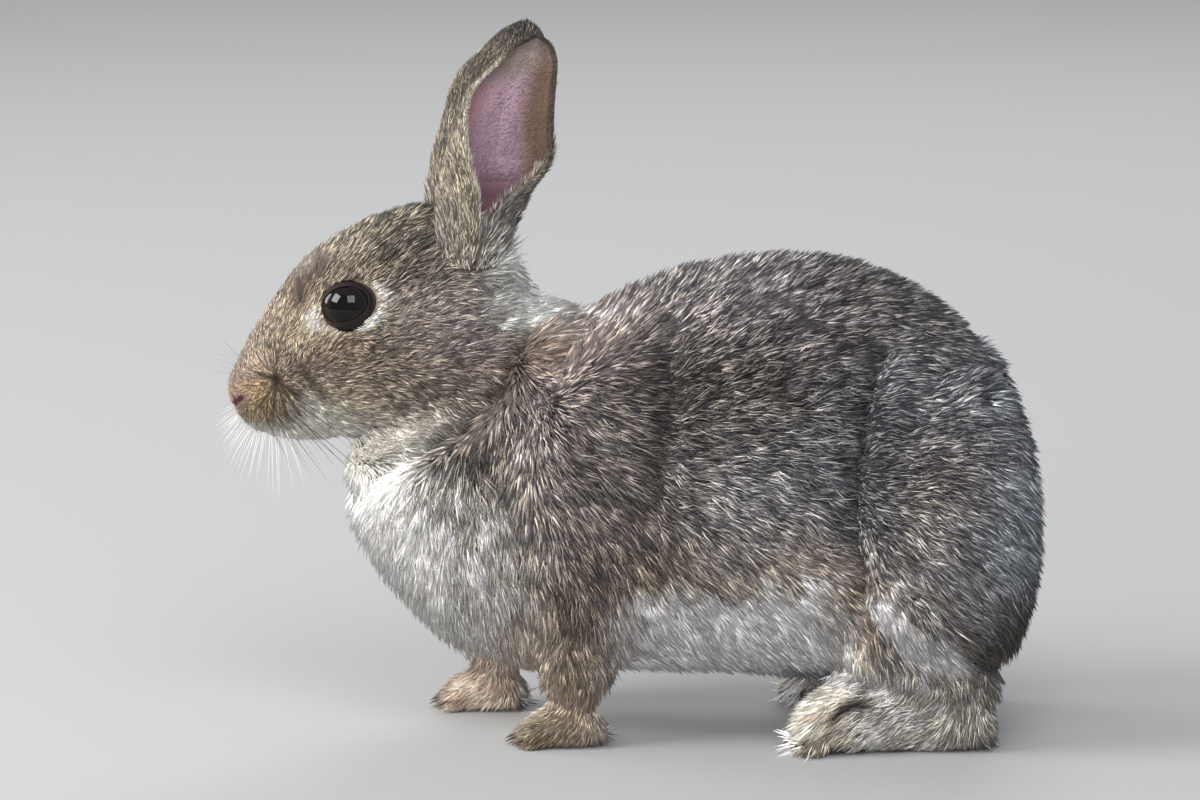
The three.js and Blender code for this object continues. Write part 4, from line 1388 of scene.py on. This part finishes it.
for name, side in SIDES.items():
    for part, (*rows, seed, turn, pale) in EAR_BACK.items():
        coat.append(ear_coat(f"coat_ear_{part}_{name}", side, *rows, seed + side, turn, pale))
    for part, (share, count, seed) in EAR_RIMS.items():
        coat.append(ear_rim(f"coat_ear_{part}_{name}", side, share, count, seed + side))
    for part, (*rows, seed, turn, pale) in EAR_INSIDE.items():
        coat.append(ear_coat(f"coat_ear_{part}_{name}", side, *rows, seed + side, turn, pale))

# %% [markdown]
# ## Colouring the skin
# The skin takes its colour from the same markings, a little darker, since it lies in the shade of
# the coat. The inside of the ear has no thick coat, so its own colour shows: a dusky pink that turns
# brown towards the back rim.

# %% Paint the skin
colour, tick = markings(skin_points)
colour *= (0.85 - 0.4 * tick)[:, None]
rim = eye_rings(to_skull(skin_points))
lid = (1 - step(0.95, 1.05, rim)) * head_share(skin_points)
colour = mix(colour, light(38, 30, 26), lid)
shell, _ = ear_colours(ear_u, ear_share, ear_out)
# painted shade: the skin on the back of the ear lies under its coat
shell = shell * (1 - 0.5 * (ear_out > 0.2))[:, None]
colour = mix(colour, shell, on_ears.astype(float))
paint(skin, colour)
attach(skin, "root")
flesh = [node for node in frame["nodes"] if not node.startswith("eye")]
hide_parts(*flesh)

# %% [markdown]
# ## The eyes
# A rabbit's eye is nearly a ball with a very large dark iris. Rings of points round the line of sight
# make the colouring easy: the angle from that line says whether a point is pupil, iris, limbus or
# white. The lids are a thick dark ring that rises from the ball, rounds over and sinks into the coat.

# %% Set the eyes and their lids
GAZE = unit(EYE_OUT + np.array([-0.06, 0, 0.0]))


def eyeball(side, rings=64, sides=72):
    """Point = centre + R (axis cos a + spokes sin a), for angles a from 0 to 180 degrees."""
    a = np.linspace(0, np.pi, rings)[:, None]
    t = np.linspace(0, 2 * np.pi, sides, endpoint=False)[None]
    spoke_a = unit(np.cross(GAZE, (0, 0, 1)))
    spoke_b = np.cross(GAZE, spoke_a)
    around = np.cos(t)[..., None] * spoke_a + np.sin(t)[..., None] * spoke_b
    p = EYE + EYE_RADIUS * (np.cos(a)[..., None] * GAZE + np.sin(a)[..., None] * around)
    return from_skull(p * (1, -side, 1)), np.degrees(np.repeat(a, sides, 1)), np.repeat(t, rings, 0)


def eye_colours(angle, turn):
    """Black pupil, dark brown iris with rays, black limbus, pale white."""
    rays = 0.5 + 0.5 * np.sin(turn * 37 + 2 * np.sin(turn * 11))
    iris = mix(light(11, 8, 7) * np.ones((len(angle), 1)), light(24, 15, 11), rays * 0.7)
    colour = mix(np.zeros_like(iris) + light(3, 3, 4), iris, step(24, 30, angle))
    colour = mix(colour, light(8, 6, 6), step(42, 45, angle))
    return mix(colour, light(30, 30, 34), step(47.5, 49, angle) * (1 - step(50, 52, angle)))


def skin_height(back, up):
    """How far outwards the skin lies at places round the left eye, as a soft mean of its points."""
    b, v, out = eye_flat(to_skull(skin_points))
    near = (np.hypot(b, v) < 14) & (out > 0) & (head_share(skin_points) > 0.5)
    apart = (back[:, None] - b[near]) ** 2 + (up[:, None] - v[near]) ** 2
    weight = np.exp(-apart / 1.2**2) + 1e-9
    return (weight @ out[near]) / weight.sum(1)


# along the lid: share of the way from the opening to the rim, and height above the ball or the skin
LID = [
    (-0.1, -0.5), (0.0, 0.0), (0.02, 0.4), (0.14, 0.6),
    (0.4, 0.5), (0.75, 0.25), (1.0, 0.0), (1.25, -0.7),
]


def off(turn, middle):
    """How far an angle lies from another, from -pi to pi."""
    return np.angle(np.exp(1j * (turn - middle)))


def lids(side, sides=120, steps=4):
    """Point = EYE + back * B + up * U + height * OUT, with (B, U) between two ovals."""
    turn = np.linspace(0, 2 * np.pi, sides, endpoint=False)
    corner = bell(off(turn, INNER_CORNER), 0.3)
    profile = through(np.array(LID), np.linspace(0, len(LID) - 1, (len(LID) - 1) * steps + 1))
    share, rise = profile.T[..., None]
    inner = 1 / np.hypot(np.cos(turn) / OPEN_LONG, np.sin(turn) / OPEN_HIGH) * (1 + 0.13 * corner)
    outer = 1 / np.hypot(np.cos(turn) / LID_LONG, np.sin(turn) / LID_HIGH) * (1 + 0.05 * corner)
    reach = inner + (outer - inner) * share
    back, up = reach * np.cos(turn), reach * np.sin(turn) + LID_LIFT
    ball = np.sqrt(np.maximum(EYE_RADIUS**2 - back**2 - up**2, 0.2))
    flat = skin_height(back.ravel(), up.ravel()).reshape(back.shape)
    blend = step(0.0, 0.9, share)
    height = np.maximum(ball * (1 - blend) + flat * blend + rise, np.where(share < 0, -9, ball + 0.25))
    height = np.where(share > 1.05, np.minimum(height, flat - 0.6), height)
    p = EYE + back[..., None] * EYE_BACK + up[..., None] * EYE_UP + height[..., None] * EYE_OUT
    share, turn = (np.broadcast_to(values, back.shape) for values in (share, turn))
    return from_skull(p * (1, -side, 1)), share, turn


def ring_triangles(grid, turned):
    """The triangles of a grid of rings, with their corners in the other order where turned."""
    rows, columns = grid.shape[:2]
    quads = grid_faces(rows, columns)
    faces = np.concatenate((quads[:, [0, 1, 2]], quads[:, [0, 2, 3]]))
    return faces[:, ::-1] if turned else faces


eye_pieces, lid_pieces = [], []
for name, side in SIDES.items():
    grid, angle, turn = eyeball(side)
    points = grid.reshape(-1, 3)
    ball = mesh_object("eyeball_" + name, points, outward(points, ring_triangles(grid, False)))
    paint(ball, eye_colours(angle.ravel(), turn.ravel()))
    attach(ball, "root")
    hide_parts("eye_" + name)
    eye_pieces.append(ball)
    grid, share, turn = lids(side)
    rim = mesh_object("lids_" + name, grid.reshape(-1, 3), ring_triangles(grid, side > 0))
    shade = light(30, 23, 20) * np.ones((share.size, 1))
    front = np.maximum(-np.cos(turn), 0) ** 2 * step(0.3, 0.9, share)
    shade = mix(shade, light(84, 72, 68), front.ravel() * 0.7)
    # a pale line at the rear of the opening: painted highlight of the wet tear film on the lid's edge
    rear = bell(off(turn, 0.35), 0.45) * (np.abs(share - 0.02) < 0.06)
    shade = mix(shade, light(80, 72, 68), rear.ravel() * 0.3)
    inner_corner = bell(off(turn, INNER_CORNER), 0.25) * (share < 0.3)
    shade = mix(shade, light(96, 52, 46), inner_corner.ravel() * 0.8)
    paint(rim, shade)
    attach(rim, "root")
    lid_pieces.append(rim)

# %% [markdown]
# ## Whiskers and claws
# Both are thin tubes that bend. One function carries a small round section along many curves at
# once: each curve starts at a root, leaves in a direction and is pulled down by its own weight.

# %% Draw out whiskers and claws


def tubes(name, root, way, length, radius, droop, shades, slot, steps=9, sides=5):
    """Axis = root + way * length * s + down * droop * length * s^2, and the radius tapers to a point."""
    count = len(root)
    s = np.linspace(0, 1, steps)[None, :, None]
    length = np.broadcast_to(np.asarray(length, float), count)[:, None, None]
    droop = np.broadcast_to(np.asarray(droop, float), count)[:, None, None]
    radius = np.broadcast_to(np.asarray(radius, float), count)[:, None, None]
    axis = root[:, None] + way[:, None] * length * s + np.array([0, 0, -1]) * droop * length * s**2
    heading = unit(np.gradient(axis, axis=1))
    across = unit(np.cross(heading, (0.3, 0.2, 1)))
    third = np.cross(heading, across)
    taper = radius * np.maximum(1 - s**1.6, 0.02)
    turn = np.linspace(0, 2 * np.pi, sides, endpoint=False)
    ring = axis[:, :, None] + taper[..., None] * (
        across[:, :, None] * np.cos(turn)[:, None] + third[:, :, None] * np.sin(turn)[:, None]
    )
    grid = grid_faces(steps, sides)
    per = steps * sides
    start = (np.arange(count) * per)[:, None, None]
    quads = (grid[None] + start).reshape(-1, 4)
    faces = np.concatenate((quads[:, [0, 1, 2]], quads[:, [0, 2, 3]]))
    k = np.arange(1, sides - 1)
    base = np.stack((k * 0, k + 1, k), -1)[None] + start
    tip = np.stack((k * 0, k, k + 1), -1)[None] + start + per - sides
    faces = np.concatenate((faces, base.reshape(-1, 3), tip.reshape(-1, 3)))
    made = mesh_object(name, ring.reshape(-1, 3), outward(ring.reshape(-1, 3), faces))
    near, far = shades
    along_s = np.broadcast_to(s, (count, steps, 1))
    shade = near[:, None] + (far[:, None] - near[:, None]) * along_s
    paint(made, np.repeat(shade.reshape(-1, 3), sides, axis=0))
    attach(made, "root")
    return made


def whiskers(side, seed):
    """Pale ones fan forwards and down from the pad's edge, dark ones backwards from its middle.

    The pale ones lengthen from the nose to the jaw. A few fine ones stand up from the bridge.
    """
    rng = np.random.default_rng(seed)
    count = 26
    t = np.linspace(0, 1, count)
    edge = through(np.array([(-79.5, -6.5, -3.5), (-78.5, -8, -7.5), (-75, -9, -11), (-68, -10, -12)]), 3 * t)
    ways = [(-1, -0.5, -0.1), (-0.85, -0.5, -0.4), (-0.6, -0.5, -0.75), (-0.05, -0.45, -1)]
    way = through(np.array(ways), 3 * t)
    long = (6.5 + 13 * t) * rng.uniform(0.7, 1.1, count)
    pale = (edge, way, long, 0.05 + 0.02 * t, light(225, 220, 212), light(240, 238, 234))
    count = 15
    t = (np.arange(count) % 5) / 4
    row = (np.arange(count) // 5) / 2
    pad = np.column_stack((-72 + 8 * t, -11 - 2 * t, -1 - 6 * row - 2 * t))
    way = np.column_stack((0.05 + 0.55 * t, -0.4 + 0 * t, -0.85 + 0.25 * t - 0.2 * row))
    long = 16 + 18 * t * rng.uniform(0.7, 1.1, count)
    dark = (pad, way, long, 0.085 + 0.02 * t, light(30, 24, 21), light(56, 49, 44))
    t = np.linspace(0, 1, 6)
    bridge = np.column_stack((-76 + 4 * t, -5 - t, 6 + 4 * t))
    way = np.column_stack((-0.8 + 0.4 * t, -0.45 + 0 * t, 0.4 + 0.5 * t))
    fine = (bridge, way, 7 + 7 * t, 0.035 + 0 * t, light(110, 98, 86), light(150, 140, 128))
    sets = (pale, dark, fine)
    root, way, length, radius = (np.concatenate([each[k] for each in sets]) for k in range(4))
    root = root + rng.normal(0, 0.4, root.shape)
    way = unit(unit(way) + rng.normal(0, 0.07, way.shape))
    counts = [len(each[0]) for each in sets]
    near, far = (np.repeat([each[k] for each in sets], counts, axis=0) for k in (4, 5))
    place, turn = from_skull(root * (1, -side, 1)), (way * (1, -side, 1)) @ SKULL_TURN.T
    return place, turn, length, radius, 0.1, (near, far)


whisker_pieces = [
    tubes("whiskers_" + name, *whiskers(side, 300 + side), "whisker") for name, side in SIDES.items()
]


def claws(side):
    """A short hooked claw before each toe."""
    rows = [(tip[-1][0] + 4, tip[-1][1], 4.6) for tip in HIND_TOES]
    rows += [(tip[-1][0] + 3.2 + (STRIDE if side > 0 else 0), tip[-1][1], 3.4) for tip in FORE_TOES]
    root = np.array(rows) * (1, -side, 1)
    way = np.tile(unit(np.array([-1.0, 0, -0.12])), (len(root), 1))
    horn = np.tile(light(70, 58, 50), (len(root), 1))
    return root, way, 5.4, 0.8, 0.28, (horn, horn * 0.6)


claw_pieces = [tubes("claws_" + name, *claws(side), "claw", sides=8) for name, side in SIDES.items()]

# %% [markdown]
# ## Materials
# A shader is a small sum. Written as nodes by hand it takes many lines, so one class wraps a socket,
# and plus, minus and times on it add the Math nodes.

# %% Write shaders as expressions


class Value:
    """A socket of a shader. Sums and products with it add Math nodes."""

    def __init__(self, finish, socket):
        self.finish, self.socket = finish, socket

    def _math(self, operation, a, b):
        return self.finish.node("ShaderNodeMath", {"operation": operation}, {0: a, 1: b})

    def __add__(self, other):
        return self._math("ADD", self, other)

    def __sub__(self, other):
        return self._math("SUBTRACT", self, other)

    def __rsub__(self, other):
        return self._math("SUBTRACT", other, self)

    def __mul__(self, other):
        return self._math("MULTIPLY", self, other)

    __radd__, __rmul__ = __add__, __mul__


class Finish:
    """A material with one Principled shader, whose constant values are set by name."""

    def __init__(self, name, **constants):
        self.material = bpy.data.materials.new(name)
        self.material.use_nodes = True
        self.tree = self.material.node_tree
        self.shader = self.tree.nodes["Principled BSDF"]
        for socket, value in constants.items():
            self.shader.inputs[socket.replace("_", " ")].default_value = value

    def node(self, kind, settings=None, inputs=None, output=0):
        """A node of a kind, with its settings first and then the values or links of its sockets."""
        node = self.tree.nodes.new(kind)
        for key, value in (settings or {}).items():
            setattr(node, key, value)
        for key, value in (inputs or {}).items():
            self.put(node.inputs[key], value)
        return Value(self, node.outputs[output])

    def put(self, socket, value):
        """Links a wrapped socket, or sets a plain value."""
        if isinstance(value, Value):
            self.tree.links.new(value.socket, socket)
        else:
            socket.default_value = value

    def feed(self, socket, value):
        """Links a value to one of the shader's sockets."""
        self.put(self.shader.inputs[socket], value)

    def attribute(self, name):
        """Colours or numbers stored on the mesh."""
        return self.node("ShaderNodeAttribute", {"attribute_name": name})

    def place(self):
        """The place on the piece, in its own coordinates."""
        return self.node("ShaderNodeTexCoord", output="Object")

    def noise(self, size, detail=3.0, stretch=(1, 1, 1)):
        """Noise whose grains are about `size` mm wide on the piece."""
        scale = tuple(s / (size * MM) for s in stretch)
        mapped = self.node("ShaderNodeMapping", {}, {"Vector": self.place(), "Scale": scale})
        return self.node("ShaderNodeTexNoise", {}, {"Vector": mapped, "Scale": 1.0, "Detail": detail})

    def tinted(self, colour, factor, amount):
        """A colour made darker and lighter by a factor from 0 to 1 about its middle."""
        level = (factor - 0.5) * amount + 1.0
        grey = self.node("ShaderNodeCombineColor", {}, {0: level, 1: level, 2: level})
        settings = {"data_type": "RGBA", "blend_type": "MULTIPLY"}
        return self.node("ShaderNodeMix", settings, {0: 1.0, 6: colour, 7: grey}, output=2)

    def bump(self, height, depth, strength=1.0):
        """A normal from a height of 0 to 1 that stands for `depth` mm."""
        inputs = {"Strength": strength, "Distance": depth * MM, "Height": height}
        self.feed("Normal", self.node("ShaderNodeBump", {}, inputs))


def fur_finish(name, roughness, sheen):
    """Hair: the painted markings with fine streaks, dull, with a faint bloom at grazing angles."""
    finish = Finish(name, Roughness=roughness, Specular_IOR_Level=0.12, Sheen_Weight=sheen)
    finish.shader.inputs["Sheen Roughness"].default_value = 0.5
    finish.feed("Base Color", finish.tinted(finish.attribute("markings"), finish.noise(0.7), 0.5))
    return finish.material


def skin_finish():
    """Skin: the painted markings, pores and short hair as a fine bump."""
    finish = Finish("skin", Roughness=0.7, Specular_IOR_Level=0.2)
    grain = finish.noise(0.5, 4.0)
    finish.feed("Base Color", finish.tinted(finish.attribute("markings"), grain, 0.8))
    finish.bump(grain, 0.25)
    return finish.material


skin.data.materials.clear()
skin.data.materials.append(skin_finish())
fur = fur_finish("fur", 0.7, 0.08)
for piece in coat:
    piece.data.materials.append(fur)


def painted_finish(name, **constants):
    """The painted colours alone, for the eyes, lids, whiskers and claws."""
    finish = Finish(name, **constants)
    finish.feed("Base Color", finish.attribute("markings"))
    return finish.material


wet = {"Coat_Weight": 1.0, "Coat_Roughness": 0.01}
eye_glass = painted_finish("eye", Roughness=0.4, Specular_IOR_Level=0.0, **wet)
eye_glass.node_tree.nodes["Principled BSDF"].inputs["Coat IOR"].default_value = 1.36
lid_skin = painted_finish("lid", Roughness=0.6, Specular_IOR_Level=0.25)
whisker = painted_finish("whisker", Roughness=0.35, Specular_IOR_Level=0.5)
claw = painted_finish("claw", Roughness=0.4, Specular_IOR_Level=0.5)
finishes = [(eye_pieces, eye_glass), (lid_pieces, lid_skin), (whisker_pieces, whisker), (claw_pieces, claw)]
for pieces, material in finishes:
    for piece in pieces:
        piece.data.materials.append(material)

# %% [markdown]
# ## Stage, light and camera
# A pale floor and five soft lamps keep the colours honest. The camera stands where the animal's left
# side is seen from slightly above, far off with a long lens, so that the form isn't distorted.

# %% Set the stage
scene = bpy.context.scene
scene.view_settings.view_transform = "Standard"

size = 12.0
corners = np.array([(-size, -size), (size, -size), (size, size), (-size, size)]) / 2 / MM
corners = np.column_stack((corners, np.zeros(4))) - SHIFT
floor = mesh_object("floor", corners, [(0, 1, 2, 3)], smooth=False)
floor_finish = Finish("floor", Roughness=0.85, Specular_IOR_Level=0.2)
floor_finish.shader.inputs["Base Color"].default_value = (0.34, 0.335, 0.33, 1)
floor.data.materials.append(floor_finish.material)

middle = (np.array(cad_box[0]) + np.array(cad_box[1])) / 2
LOOK_AT = middle + np.array([-9.7, 0, -5.5]) * MM


def aim(made, place, target):
    """Turns an object at a place so that it looks at a target."""
    made.location = place
    direction = Vector(target) - Vector(place)
    made.rotation_euler = direction.to_track_quat("-Z", "Y").to_euler()
    scene.collection.objects.link(made)
    return made


def lamp(name, place, size, power, colour=(1, 1, 1)):
    """A square soft box that faces the animal."""
    data = bpy.data.lights.new(name, "AREA")
    data.size, data.energy, data.color = size, power, colour
    return aim(bpy.data.objects.new(name, data), place, middle)


lamp("key", (-1.6, -0.65, 1.3), 1.0, 46, (1, 0.98, 0.95))
lamp("front", (0.25, -1.45, 1.45), 1.0, 22, (0.92, 0.96, 1))
lamp("back", (0.3, 1.4, 1.3), 1.0, 16, (0.97, 0.98, 1))
lamp("rim", (-1.7, 0.8, 0.75), 0.9, 20, (1, 1, 0.96))
# A broad low light that the eyes and the floor don't mirror.
fill = lamp("fill", (-0.7, -2.2, 0.25), 2.2, 68, (1, 0.99, 0.98))
fill.visible_glossy = False

world = bpy.data.worlds.new("room")
scene.world = world
world.use_nodes = True
world.node_tree.nodes["Background"].inputs["Color"].default_value = (0.86, 0.92, 1.0, 1)
world.node_tree.nodes["Background"].inputs["Strength"].default_value = 0.5

DISTANCE, TILT = 2.1, math.radians(10)
lens = bpy.data.cameras.new("camera")
lens.lens, lens.sensor_width = 217, 36
lens.clip_start, lens.clip_end = 0.05, 50
eye_point = LOOK_AT + np.array([0, -math.cos(TILT), math.sin(TILT)]) * DISTANCE
scene.camera = aim(bpy.data.objects.new("camera", lens), tuple(eye_point), tuple(LOOK_AT))
